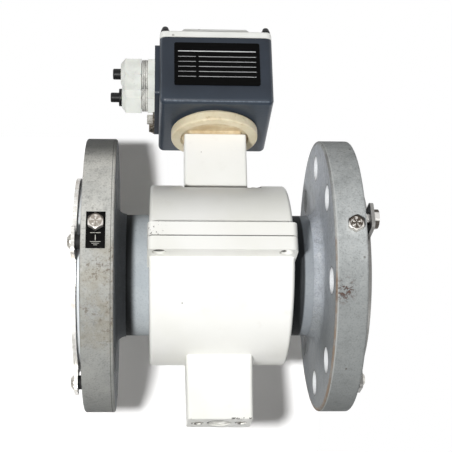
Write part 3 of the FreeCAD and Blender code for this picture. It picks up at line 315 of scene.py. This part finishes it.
stainless = Finish("stainless_sheet", Metallic=0.75)
side = stainless.along(0)
brushed = stainless.noise(60, 4, 0.6, (6.0, 0.6, 9.0))
handled = stainless.noise(42, 4, 0.6).rise(0.5, 0.72)
sheet = stainless.mixed(brushed.rise(0.3, 0.7), tone(206, 204, 198), tone(238, 237, 233))
sheet = stainless.mixed(handled * 0.5 * side.fall(-0.001, 0.0), sheet, tone(150, 128, 104))
sheet = stainless.mixed(stainless.specks(240, 0.25, 0.15) * 0.6, sheet, tone(92, 84, 76))
# Painted dark reflection on the outlet ring.
sheet = stainless.mixed(side.rise(-0.001, 0.001) * 0.75, sheet, tone(96, 95, 94))
inlet_face = side.fall(inlet_face_x + face_depth, inlet_face_x + 2 * face_depth)
sheet = stainless.mixed(inlet_face * 0.7, sheet, tone(104, 102, 99))
stainless.colour(sheet)
stainless.roughness(0.24 + brushed * 0.18 + handled * 0.1)
stainless.bumps(brushed, 0.00006)
dress(stainless, "inlet_earthing_ring", "outlet_earthing_ring")


# Screws -------------------------------------------------------------------------------------
# Zinc plated and stainless screws. Their heads are cold formed, with bright faces and dull
# marks where a spanner has turned them.

plated = Finish("plated_screws", Metallic=0.95)
wear = plated.noise(260, 4, 0.65)
faces = plated.mixed(wear.rise(0.35, 0.65), tone(198, 196, 190), tone(150, 146, 138))
grime = plated.noise(700, 3, 0.7).rise(0.58, 0.7)
faces = plated.mixed(grime * 0.55, faces, tone(60, 54, 48))
plated.colour(faces)
plated.roughness(0.2 + wear * 0.2 + grime * 0.2)
plated.bumps(wear * 0.6 + grime * 0.4, 0.0001)
dress(plated, "ring_screws", "shell_screws", "cover_screws", "collar_screws",
      "gland_plate_screws", "terminal_screws", "neck_screws", "electrodes", "electrode_nuts",
      "box_earth_screw")

# The bolt has a painted highlight along its middle and painted shade above and below it.
bolt_low, bolt_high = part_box("ring_earth_bolt")
bolt = Finish("ring_earth_bolt_plating", Metallic=0.85)
bolt_wear = bolt.noise(300, 4, 0.65)
upward = (bolt.along(2) - bolt_low.z) * (1 / (bolt_high.z - bolt_low.z))
painted_highlight = upward.band(0.3, 0.66, 0.06)
bolt_face = bolt.mixed(painted_highlight, tone(70, 66, 62), tone(214, 212, 208))
bolt_face = bolt.mixed(bolt_wear.rise(0.5, 0.68) * 0.5, bolt_face, tone(120, 114, 106))
bolt.colour(bolt_face)
bolt.roughness(0.22 + bolt_wear * 0.2)
bolt.bumps(bolt_wear, 0.0001)
dress(bolt, "ring_earth_bolt")


# Rim earth screws ---------------------------------------------------------------------------
# Plated hexagon screws in the middle of each rim. Their cold formed heads have a star of five
# marks, and soil stays between them.

star_inner, star_outer, star_edge = 0.0009, 0.0038, 0.0003
chamfer_start, chamfer_end = 0.0041, 0.0046
earth_faces = {"inlet_earth_screw": (tone(160, 152, 142), tone(246, 242, 236)),
               "outlet_earth_screw": (tone(84, 76, 68), tone(236, 232, 226))}
for name, (ground, marks) in earth_faces.items():
    middle = sum(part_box(name), Vector()) / 2
    head = Finish(name.replace("screw", "head"), Metallic=0.8)
    across = head.along(0) - middle.x
    up = head.along(2) - middle.z
    out = head.radius((middle.x, 0, middle.z), (1, 0, 1))
    turn = up.join("ARCTAN2", across)
    scuffs = head.noise(520, 4, 0.75)
    star = ((turn * 5).join("SINE") + (scuffs - 0.5) * 9).rise(0.0, 0.9)
    star = star * out.band(star_inner, star_outer, star_edge)
    chamfer = out.rise(chamfer_start, chamfer_end)
    face = head.mixed(star * 0.7, ground, marks)
    face = head.mixed(scuffs.rise(0.55, 0.68) * 0.6, face, tone(70, 62, 54))
    # Painted highlight on the lower side of the head's chamfer, painted shade on its upper side.
    face = head.mixed(chamfer * up.fall(-0.001, 0.0015) * 0.8, face, tone(232, 228, 222))
    face = head.mixed(chamfer * up.rise(0.0005, 0.002) * 0.8, face, tone(40, 36, 32))
    head.colour(face)
    head.roughness(0.22 + scuffs * 0.22)
    head.bumps(scuffs * 0.5 - star, 0.0002)
    dress(head, name)


# Ring spacers, gasket and seals -------------------------------------------------------------
# Black rubber: bushes under the ring tabs, the flat gasket between the half shells, the seal
# under the neck, the lid gasket and the rings inside the cable glands.

rubber = Finish("black_rubber", Specular_IOR_Level=0.35)
bloom = rubber.noise(90, 4, 0.6)
rubber_colour = rubber.mixed(bloom.rise(0.4, 0.75), tone(20, 20, 21), tone(46, 45, 43))
rubber.colour(rubber_colour)
rubber.roughness(0.55 + bloom * 0.25)
rubber.bumps(rubber.noise(600, 3), 0.0001)
dress(rubber, "ring_spacers", "shell_gasket", "neck_seal", "lid_gasket", "front_gland_seal",
      "rear_gland_seal")


# Earth label --------------------------------------------------------------------------------
# Black film glued round the rim under the earth screw, printed with the common earth sign in
# white: a rule, a stem and three bars of falling width.

label_x = (sum(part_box("earth_label"), Vector()) / 2).x
edge = 0.00015
rule_half_width, rule_low, rule_high = 0.0034, -0.0072, -0.007
stem = (0.00012, -0.0122, -0.0086)
bars = ((0.0034, -0.0132, -0.0131), (0.0023, -0.0143, -0.0142), (0.0012, -0.0154, -0.0153))

film = Finish("printed_label", Specular_IOR_Level=0.06)
across = (film.along(0) - label_x).size()
up = film.along(2)
sign = across.fall(rule_half_width, rule_half_width + edge) * up.band(rule_low, rule_high, edge) * 0.9
for half_width, low, high in (stem, *bars):
    sign = sign + across.fall(half_width, half_width + edge) * up.band(low, high, edge)
rubbed = film.noise(300, 4, 0.7)
film_colour = film.mixed(rubbed.rise(0.35, 0.8), tone(3, 3, 3), tone(16, 15, 14))
film_colour = film.mixed(sign * rubbed.rise(0.25, 0.42), film_colour, tone(214, 214, 206))
film.colour(film_colour)
film.roughness(0.3 + rubbed * 0.2)
film.bumps(rubbed, 0.00004)
dress(film, "earth_label")


# Coils and electrodes' bushings -------------------------------------------------------------
# Taped copper saddles on the tube, soft iron pole shoes in their windows, and moulded plastic
# bushings, lead sleeve and terminal block. The closed housing and box hide them all.

copper = Finish("taped_copper", Metallic=0.7)
turns = (copper.along(0) * 2600).join("SINE")
copper.colour(copper.mixed(turns.rise(-0.6, 0.8), tone(120, 62, 34), tone(196, 118, 72)))
copper.roughness(0.35 + copper.noise(90) * 0.2)
copper.bumps(turns, 0.0001)
dress(copper, "upper_coil", "lower_coil")

iron = Finish("soft_iron", Metallic=0.8)
scale = iron.noise(70, 5, 0.65)
iron.colour(iron.mixed(scale.rise(0.35, 0.65), tone(92, 92, 94), tone(126, 124, 122)))
iron.roughness(0.42 + scale * 0.2)
iron.bumps(scale, 0.0001)
dress(iron, "upper_pole_shoe", "lower_pole_shoe")

moulded = Finish("moulded_bushings", Specular_IOR_Level=0.45)
flow_marks = moulded.noise(120, 3)
moulded.colour(moulded.mixed(flow_marks.rise(0.3, 0.7), tone(214, 206, 186), tone(190, 180, 158)))
moulded.roughness(0.4 + flow_marks * 0.15)
moulded.bumps(flow_marks, 0.00005)
dress(moulded, "electrode_bushings", "terminal_block", "lead_sleeve")


# Housing ------------------------------------------------------------------------------------
# Two cast aluminium half shells, screwed together through their lips, with the coil chamber's
# cover below and the neck above. All are coated glossy off-white; the coat has a few dark
# specks, chips along the lips and the cover's edge, and fine orange peel.

cover_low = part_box("coil_cover")[0]
cover_screw_x = 0.0155
screw_shade, screw_depth = (0.0034, 0.0044), (-0.1095, -0.109)
plug_rim, plug_depth = (0.0079, 0.0087), (-0.1101, -0.1098)
pocket_x, pocket_y, pocket_radius = 0.0435, -0.0738, 0.0052
pocket_bottom, pocket_top = -0.0078, -0.004
foot_x, foot_y, foot_radius = 0.0267, -0.02, 0.0068
foot_low, foot_high = 0.05, 0.068
lip_front = -0.0788
seat_low, seat_high = 0.056, 0.0668
seat_half_length, seat_half_width = 0.0246, 0.0136
edge = 0.0003
step = 0.0004

enamel = Finish("off_white_enamel", Specular_IOR_Level=0.4, Coat_Weight=0.1, Coat_Roughness=0.2)
along, forward, up = enamel.along(0), enamel.along(1), enamel.along(2)
upright = (1, 1, 0)
cloud = enamel.noise(14, 3)
coat = enamel.mixed(cloud.rise(0.35, 0.7), tone(243, 243, 239), tone(236, 236, 229))
grubby = enamel.noise(60, 5, 0.7).rise(0.56, 0.74)
coat = enamel.mixed(grubby * 0.1, coat, tone(188, 182, 166))
dots = enamel.specks(70, 0.045, 0.34) * forward.fall(-0.02, 0.0)
coat = enamel.mixed(dots * 0.8, coat, tone(88, 80, 70))

# Chips on the upper lip, at the lips' inlet end and along the cover's front edge.
near_lip = up.band(0.0102, 0.0125, 0.0006) * forward.fall(-0.062, -0.058)
chips_and_shade = enamel.noise(420, 4, 0.7).rise(0.62, 0.67) * near_lip
left_end = along.fall(-0.046, -0.036) * up.band(-0.0006, 0.0125, 0.0006) * forward.fall(-0.064, -0.06)
chips_and_shade = chips_and_shade + enamel.noise(520, 3, 0.7).rise(0.62, 0.66) * left_end
cover_edge = up.fall(cover_low.z + 0.0007, cover_low.z + 0.0011)
cover_edge = cover_edge * forward.fall(cover_low.y + 0.0006, cover_low.y + 0.0012)
cover_edge = cover_edge * (along.band(0.0085, 0.0165, 0.001) + along.size().rise(0.02, 0.0205))
chips_and_shade = chips_and_shade + cover_edge * enamel.noise(330, 4, 0.7).rise(0.46, 0.5)
cover_face = up.fall(cover_low.z + 0.0002, cover_low.z + 0.0006)
chips_and_shade = chips_and_shade + cover_face * enamel.noise(130, 4, 0.7).rise(0.68, 0.72) * 0.6

# Painted shade round the cover's plug and screws, in the lip's screw pockets and at the neck's foot.
plug_recess_shade = enamel.radius((0, 0, 0), upright).band(*plug_rim, edge) * up.fall(*plug_depth)
chips_and_shade = chips_and_shade + plug_recess_shade * along.fall(0.001, 0.004) * forward.fall(-0.001, 0.002)
from_screws = enamel.radius((-cover_screw_x, 0, 0), upright)
from_screws = from_screws.join("MINIMUM", enamel.radius((cover_screw_x, 0, 0), upright))
screw_recess_shade = from_screws.band(*screw_shade, edge) * up.fall(*screw_depth)
chips_and_shade = chips_and_shade + screw_recess_shade * enamel.noise(260, 3).rise(0.45, 0.55)
left_pocket = enamel.radius((-pocket_x, pocket_y, 0), upright)
right_pocket = enamel.radius((pocket_x, pocket_y, 0), upright)
right_half = right_pocket.fall(pocket_radius, pocket_radius + step)
right_half = right_half * along.fall(pocket_x - 0.0005, pocket_x + 0.0015)
pockets = left_pocket.fall(pocket_radius, pocket_radius + step) + right_half
pockets = pockets * up.band(pocket_bottom, pocket_top, 0.0006)
chips_and_shade = chips_and_shade + pockets * forward.rise(lip_front, lip_front + edge)
foot = enamel.radius((foot_x, foot_y, 0), upright).fall(foot_radius, foot_radius + step)
chips_and_shade = chips_and_shade + foot * up.band(foot_low, foot_high, 0.001)
chips_and_shade = chips_and_shade.join("MINIMUM", 1.0)
seat_shade = along.size().fall(seat_half_length, seat_half_length + step)
seat_shade = seat_shade * forward.size().fall(seat_half_width, seat_half_width + step)
seat_shade = seat_shade * up.band(seat_low, seat_high, 0.0005)
coat = enamel.mixed(seat_shade * 0.7, coat, tone(126, 120, 110))
# The chips and the painted shade above share this dark colour.
coat = enamel.mixed(chips_and_shade * 0.9, coat, tone(52, 48, 44))
enamel.colour(coat)
peel = enamel.noise(330, 2, 0.4)
enamel.roughness(0.34 + cloud * 0.1 + chips_and_shade * 0.3)
enamel.bumps(peel * 0.5 - chips_and_shade * 0.9 - dots * 0.4, 0.00012)
dress(enamel, "upper_shell", "lower_shell", "coil_cover", "neck_tube")

plug_enamel = Finish("plug_enamel", Specular_IOR_Level=0.45)
plug_wear = plug_enamel.noise(210, 4, 0.65)
plug_coat = plug_enamel.mixed(plug_wear.rise(0.3, 0.7), tone(238, 238, 233), tone(206, 204, 196))
plug_edge = plug_enamel.radius((0, 0, 0), upright).rise(0.0074, 0.0079)
plug_coat = plug_enamel.mixed(plug_edge * plug_wear.rise(0.42, 0.56), plug_coat, tone(74, 70, 64))
plug_enamel.colour(plug_coat)
plug_enamel.roughness(0.36 + plug_wear * 0.2)
plug_enamel.bumps(plug_wear, 0.0001)
dress(plug_enamel, "cover_plug")


# Insulating collar --------------------------------------------------------------------------
# Round collar turned from cream plastic and screwed under the box, to keep the heat from it. It
# is yellowed and stained by age.

recess_radius = 0.026
wall_radius = 0.03

cream = Finish("cream_plastic", Specular_IOR_Level=0.4, Subsurface_Weight=0.04)
aged = cream.noise(34, 5, 0.65)
from_neck = cream.radius((0, 0, 0), (1, 1, 0))
cream_colour = cream.mixed(aged.rise(0.35, 0.68), tone(232, 221, 194), tone(214, 198, 163))
# The recess is darker: painted shade with age stains.
recess_shade_and_stain = from_neck.fall(recess_radius, recess_radius + 0.0008) * (0.3 + aged.rise(0.4, 0.6) * 0.6)
cream_colour = cream.mixed(recess_shade_and_stain * 0.8, cream_colour, tone(186, 162, 124))
wall_mark = cream.noise(130, 4, 0.7).rise(0.55, 0.68) * from_neck.rise(wall_radius, wall_radius + 0.003)
cream_colour = cream.mixed(wall_mark * 0.45, cream_colour, tone(176, 152, 112))
cream.colour(cream_colour)
cream.roughness(0.42 + aged * 0.2)
cream.bumps(aged * 0.4 + cream.noise(420, 3) * 0.4, 0.0001)
dress(cream, "insulating_collar")


# Terminal box -------------------------------------------------------------------------------
# Cast aluminium box in slate blue textured paint, screwed down onto the collar, with a gland
# plate at its inlet end and an off-white cast lid on four black screws.

box_low, box_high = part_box("terminal_box")
edge_start, edge_end = 0.0022, 0.0008
front_light_height = 0.016

slate = Finish("slate_paint", Specular_IOR_Level=0.25, Coat_Weight=0.05, Coat_Roughness=0.15)
aside, ahead, up = slate.along(0).size(), slate.along(1).size(), slate.along(2)
peel = slate.noise(420, 3, 0.5)
faded = slate.noise(22, 4)
paint = slate.mixed(faded.rise(0.3, 0.7), tone(36, 42, 51), tone(44, 51, 61))
# Painted light on the underside and lower front; painted highlights with scrapes on the edges.
under = up.fall(box_low.z + 0.0003, box_low.z + 0.001)
front_painted_light = up.fall(box_low.z + 0.001, box_low.z + front_light_height) * 0.5
paint = slate.mixed(under.highest(front_painted_light) * 0.8, paint, tone(60, 69, 80))
corner = aside.rise(box_high.x - edge_start, box_high.x - edge_end)
corner = corner * ahead.rise(box_high.y - edge_start, box_high.y - edge_end)
low_edge = up.band(box_low.z + 0.0002, box_low.z + 0.0012, 0.0006)
low_edge = low_edge * aside.highest(ahead).rise(box_high.x - 0.0018, box_high.x - 0.0006)
scrapes_and_highlight = 0.45 + slate.noise(130, 5, 0.75).rise(0.5, 0.62) * 0.55
paint = slate.mixed((corner * 0.45 + low_edge * 0.7) * scrapes_and_highlight, paint, tone(146, 158, 172))
paint = slate.mixed(slate.specks(150, 0.1, 0.08) * 0.4, paint, tone(150, 156, 162))
slate.colour(paint)
slate.roughness(0.3 + faded * 0.1)
slate.bumps(peel, 0.0001)
dress(slate, "terminal_box", "gland_plate")

lid_coat = Finish("lid_paint", Specular_IOR_Level=0.5, Coat_Weight=0.2, Coat_Roughness=0.2)
lid_cloud = lid_coat.noise(40, 4)
coat = lid_coat.mixed(lid_cloud.rise(0.35, 0.7), tone(240, 241, 237), tone(230, 231, 226))
coat = lid_coat.mixed(lid_coat.specks(150, 0.2, 0.12) * 0.6, coat, tone(120, 116, 108))
lid_coat.colour(coat)
lid_coat.roughness(0.34 + lid_cloud * 0.12)
lid_coat.bumps(lid_coat.noise(420, 2), 0.0001)
dress(lid_coat, "box_lid")

black_screws = Finish("black_oxide_screws", Metallic=0.5)
rubbed = black_screws.noise(380, 4, 0.65)
black_screws.colour(black_screws.mixed(rubbed.rise(0.5, 0.75), tone(24, 24, 25), tone(74, 72, 70)))
black_screws.roughness(0.32 + rubbed * 0.2)
black_screws.bumps(rubbed, 0.00008)
dress(black_screws, "lid_screws")


# Name plate ---------------------------------------------------------------------------------
# Black anodised plate glued to the front of the box. It is blank apart from plain engraved
# rules, a broad one for a heading and five fine ones for entries.

plate_low, plate_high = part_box("name_plate")
edge = 0.00012
rule_inset = 0.003
heading_low, heading_high = plate_high.z - 0.0078, plate_high.z - 0.0072
first_rule, rule_step, rule_count = plate_high.z - 0.0122, 0.0043, 5
rule_half = 0.00014
column = plate_low.x + 0.0185
column_gap = 0.0022

anodised = Finish("black_anodised_plate", Specular_IOR_Level=0.05)
across, up = anodised.along(0), anodised.along(2)
columns = across.fall(column - column_gap, column - column_gap + 0.0001) * 0.55
columns = columns + across.rise(column, column + 0.0001) * 0.75
rules = up.band(heading_low, heading_high, edge) * 0.9
for row in range(rule_count):
    level = first_rule - row * rule_step
    rules = rules + up.band(level - rule_half, level + rule_half, edge) * columns
rules = rules * across.band(plate_low.x + rule_inset, plate_high.x - rule_inset, edge)
scratches = anodised.noise(220, 4, 0.7, (0.4, 1.0, 3.0))
plate_colour = anodised.mixed(scratches.rise(0.5, 0.85), tone(2, 2, 2), tone(12, 12, 13))
plate_colour = anodised.mixed(rules, plate_colour, tone(226, 228, 230))
anodised.colour(plate_colour)
anodised.roughness(0.34 + scratches * 0.14)
anodised.bumps(scratches * 0.4 - rules * 0.6, 0.00005)
dress(anodised, "name_plate")


# Cable glands -------------------------------------------------------------------------------
# Two light grey polyamide glands through the gland plate, each with a nut inside, a fine
# thread between base and cap, and a black plug in place of its cable.

thread_root = 0.01075
thread_crest = 0.0114
thread_back = 0.0102
thread_pitch = 0.0013
thread_start_gap = 0.0006
thread_end_gap = 0.0049
flank = 0.35
spin_steps = 64

polyamide = Finish("grey_polyamide", Specular_IOR_Level=0.5, Subsurface_Weight=0.04)
dull = polyamide.noise(85, 4, 0.6)
plastic = polyamide.mixed(dull.rise(0.35, 0.7), tone(232, 233, 227), tone(216, 217, 210))
soil = polyamide.noise(240, 4, 0.7).rise(0.58, 0.7)
plastic = polyamide.mixed(soil * 0.2, plastic, tone(140, 138, 130))
polyamide.colour(plastic)
polyamide.roughness(0.28 + dull * 0.2)
polyamide.bumps(dull * 0.4 + soil * 0.2, 0.00008)
dress(polyamide, "front_gland_body", "rear_gland_body", "front_gland_cap", "rear_gland_cap",
      "front_gland_locknut", "rear_gland_locknut")

thread_plastic = Finish("gland_thread_plastic", Specular_IOR_Level=0.5)
front_spot, rear_spot = [sum(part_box(f"{name}_gland_cap"), Vector()) / 2 for name in ("front", "rear")]
ridge = thread_plastic.radius((0, front_spot.y, front_spot.z))
ridge = ridge.join("MINIMUM", thread_plastic.radius((0, rear_spot.y, rear_spot.z)))
thread_soil = thread_plastic.noise(200, 4, 0.7)
# The thread's roots are painted dark, as painted shade in its grooves.
crest = ridge.rise(thread_root + 0.00005, thread_crest - 0.00015)
thread_colour = thread_plastic.mixed(crest, tone(44, 43, 41), tone(226, 226, 220))
thread_colour = thread_plastic.mixed(thread_soil.rise(0.5, 0.65) * 0.4, thread_colour, tone(96, 92, 86))
thread_plastic.colour(thread_colour)
thread_plastic.roughness(0.3 + thread_soil * 0.2)
thread_plastic.bumps(thread_soil, 0.00008)

for name, spot in (("front", front_spot), ("rear", rear_spot)):
    cap_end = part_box(f"{name}_gland_cap")[1].x
    start, stop = cap_end + thread_start_gap, cap_end + thread_end_gap
    mesh = bmesh.new()
    turns_shown = int((stop - start) / thread_pitch)
    pitch = (stop - start) / turns_shown
    outline = [(start, thread_back), (start, thread_root)]
    for turn in range(turns_shown):
        outline += [(start + (turn + flank) * pitch, thread_crest),
                    (start + (turn + 1 - flank) * pitch, thread_crest),
                    (start + (turn + 1) * pitch, thread_root)]
    outline.append((stop, thread_back))
    ring = [mesh.verts.new((x, spot.y, spot.z + r)) for x, r in outline]
    edges = [mesh.edges.new((ring[i], ring[(i + 1) % len(ring)])) for i in range(len(ring))]
    bmesh.ops.spin(mesh, geom=ring + edges, cent=(0, spot.y, spot.z), axis=(1, 0, 0), angle=math.tau,
                   steps=spin_steps, use_merge=True)
    bmesh.ops.remove_doubles(mesh, verts=mesh.verts, dist=1e-6)
    bmesh.ops.recalc_face_normals(mesh, faces=mesh.faces)
    data = bpy.data.meshes.new(f"{name}_gland_thread")
    mesh.to_mesh(data)
    mesh.free()
    data.materials.append(thread_plastic.material)
    thread = bpy.data.objects.new(f"{name}_gland_thread", data)
    bpy.context.scene.collection.objects.link(thread)
    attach(thread, "root")

plug_rubber = Finish("black_plug_plastic", Specular_IOR_Level=0.2)
moulding = plug_rubber.noise(160, 4)
plug_rubber.colour(plug_rubber.mixed(moulding.rise(0.4, 0.75), tone(6, 6, 7), tone(24, 24, 25)))
plug_rubber.roughness(0.3 + moulding * 0.25)
plug_rubber.bumps(moulding, 0.00008)
dress(plug_rubber, "front_blank_plug", "rear_blank_plug")


# Earth clamp on the box ---------------------------------------------------------------------
# Strap bent from plated steel strip, held on the gland plate by a screw, to grip an outside
# earth wire. It is worn and brown.

strap = Finish("plated_strap", Metallic=0.85)
worn = strap.noise(300, 4, 0.7)
strap_colour = strap.mixed(worn.rise(0.4, 0.62), tone(160, 154, 142), tone(84, 74, 62))
strap.colour(strap_colour)
strap.roughness(0.3 + worn * 0.25)
strap.bumps(worn, 0.00015)
dress(strap, "box_earth_clamp")


# Table and light ----------------------------------------------------------------------------
# The meter lies on its back on a white table, seen from above, so the table stands behind it
# here. Its far side is clear, so that it hides nothing from behind. Beyond the shadows of the
# pipe and housing it glows plain white, painted light that leaves the table's shadow out there,
# and it gives little bounced light, which keeps its shadows deep.

table_tilt = math.radians(18.3)
table_distance = 0.1005
table_size = 8.0
away = Vector((0, math.cos(table_tilt), math.sin(table_tilt)))
mesh = bmesh.new()
bmesh.ops.create_grid(mesh, x_segments=1, y_segments=1, size=table_size / 2)
turned = (-away).to_track_quat("Z", "Y").to_matrix().to_4x4()
bmesh.ops.transform(mesh, matrix=Matrix.Translation(away * table_distance) @ turned, verts=mesh.verts)
data = bpy.data.meshes.new("table")
mesh.to_mesh(data)
mesh.free()
table = bpy.data.objects.new("table", data)
bpy.context.scene.collection.objects.link(table)
table.visible_shadow = False

bright = {"Color": (1, 1, 1, 1), "Strength": 1.0}
white_right = (0.078, 0.09)
white_above = (0.136, 0.143)
white_left, white_left_above = (-0.047, -0.036), (0.06, 0.075)
top = Finish("white_table", Base_Color=(0.96, 0.955, 0.95, 1), Roughness=0.9, Specular_IOR_Level=0.0)
along, up = top.along(0), top.along(2)
# Painted light: the table glows white in these regions, with no shadow.
painted_white_glow = along.rise(*white_right) + up.rise(*white_above)
painted_white_glow = (painted_white_glow + along.rise(*white_left) * up.rise(*white_left_above)).join("MINIMUM", 1.0)
glow = top.node("ShaderNodeEmission", inputs=bright)
surface = top.node("ShaderNodeMixShader", inputs={0: painted_white_glow, 1: top.shader.outputs[0], 2: glow.outputs[0]})
clear = top.node("ShaderNodeBsdfTransparent")
behind = top.node("ShaderNodeNewGeometry").outputs["Backfacing"]
dim = top.node("ShaderNodeBsdfDiffuse", inputs={"Color": (0.1, 0.1, 0.1, 1)})
bounce = top.node("ShaderNodeLightPath").outputs["Is Diffuse Ray"]
surface = top.node("ShaderNodeMixShader", inputs={0: bounce, 1: surface.outputs[0], 2: dim.outputs[0]})
surface = top.node("ShaderNodeMixShader", inputs={0: behind, 1: surface.outputs[0], 2: clear.outputs[0]})
top.tree.links.new(surface.outputs[0], top.tree.nodes["Material Output"].inputs["Surface"])
data.materials.append(top.material)


def sun(name, strength, towards, softness):
    lamp = bpy.data.lights.new(name, "SUN")
    lamp.energy = strength
    lamp.angle = math.radians(softness)
    holder = bpy.data.objects.new(name, lamp)
    holder.rotation_euler = Vector(towards).to_track_quat("-Z", "Y").to_euler()
    bpy.context.scene.collection.objects.link(holder)


lamp_place = (-0.19, -0.7, -0.283)
lamp = bpy.data.lights.new("key_light", "POINT")
lamp.energy = 40.0
lamp.shadow_soft_size = 0.03
lamp.use_nodes = True
falloff = lamp.node_tree.nodes.new("ShaderNodeLightFalloff")
falloff.inputs["Strength"].default_value = 1.0
emission = lamp.node_tree.nodes["Emission"]
lamp.node_tree.links.new(falloff.outputs["Constant"], emission.inputs["Strength"])
holder = bpy.data.objects.new("key_light", lamp)
holder.location = lamp_place
bpy.context.scene.collection.objects.link(holder)
sun("side_light", 0.22, away + Vector((1.0, 0, 0.1)), 50.0)
sun("under_light", 0.45, (0.1, 0.35, 0.93), 40.0)
sun("top_light", 0.3, (0.1, 0.45, -0.9), 40.0)
sun("right_light", 1.0, (-1.0, -0.15, 0), 40.0)
sun("left_back_light", 0.8, Vector((0.6, 0, 0)) - away, 30.0)
sun("right_back_light", 0.7, Vector((-0.6, 0, 0)) - away, 30.0)

world = bpy.data.worlds.new("studio")
bpy.context.scene.world = world
world.use_nodes = True
nodes = world.node_tree
nodes.nodes.clear()
rays = nodes.nodes.new("ShaderNodeLightPath")
seen = nodes.nodes.new("ShaderNodeMath")
seen.operation = "MAXIMUM"
shown = nodes.nodes.new("ShaderNodeMath")
shown.operation = "MAXIMUM"
fill = nodes.nodes.new("ShaderNodeBackground")
fill.inputs["Color"].default_value = (1.0, 0.92, 0.84, 1)
fill.inputs["Strength"].default_value = 0.045
backdrop = nodes.nodes.new("ShaderNodeBackground")
backdrop.inputs["Strength"].default_value = 1.0
backdrop.inputs["Color"].default_value = (1, 1, 1, 1)
choice = nodes.nodes.new("ShaderNodeMixShader")
ending = nodes.nodes.new("ShaderNodeOutputWorld")
nodes.links.new(rays.outputs["Is Camera Ray"], seen.inputs[0])
nodes.links.new(rays.outputs["Is Glossy Ray"], seen.inputs[1])
nodes.links.new(seen.outputs[0], shown.inputs[0])
nodes.links.new(rays.outputs["Is Transmission Ray"], shown.inputs[1])
nodes.links.new(shown.outputs[0], choice.inputs[0])
nodes.links.new(fill.outputs[0], choice.inputs[1])
nodes.links.new(backdrop.outputs[0], choice.inputs[2])
nodes.links.new(choice.outputs[0], ending.inputs["Surface"])


# Camera -------------------------------------------------------------------------------------
# It looks at the front of the meter from below the horizontal, a little from the inlet's side,
# through a long lens.

distance = 0.89286
elevation = math.radians(-22.43)
azimuth = math.radians(-4.06)
roll = math.radians(-1.2)
aim = Vector((0.00768, 0, 0.03961))
sensor = 36.0
focal_length = 94.2
back = Vector((math.sin(azimuth) * math.cos(elevation), -math.cos(azimuth) * math.cos(elevation),
               math.sin(elevation)))
right = Vector((math.cos(azimuth), math.sin(azimuth), 0))
over = back.cross(right)
turned_right = math.cos(roll) * right + math.sin(roll) * over
turned_up = -math.sin(roll) * right + math.cos(roll) * over
lens = bpy.data.cameras.new("camera")
lens.sensor_width = sensor
lens.lens = focal_length
lens.clip_start = 0.01
camera = bpy.data.objects.new("camera", lens)
camera.matrix_world = Matrix.Translation(aim + back * distance) @ Matrix(
    (turned_right, turned_up, back)).transposed().to_4x4()
bpy.context.scene.collection.objects.link(camera)
bpy.context.scene.camera = camera
bpy.context.scene.view_settings.view_transform = "Standard"
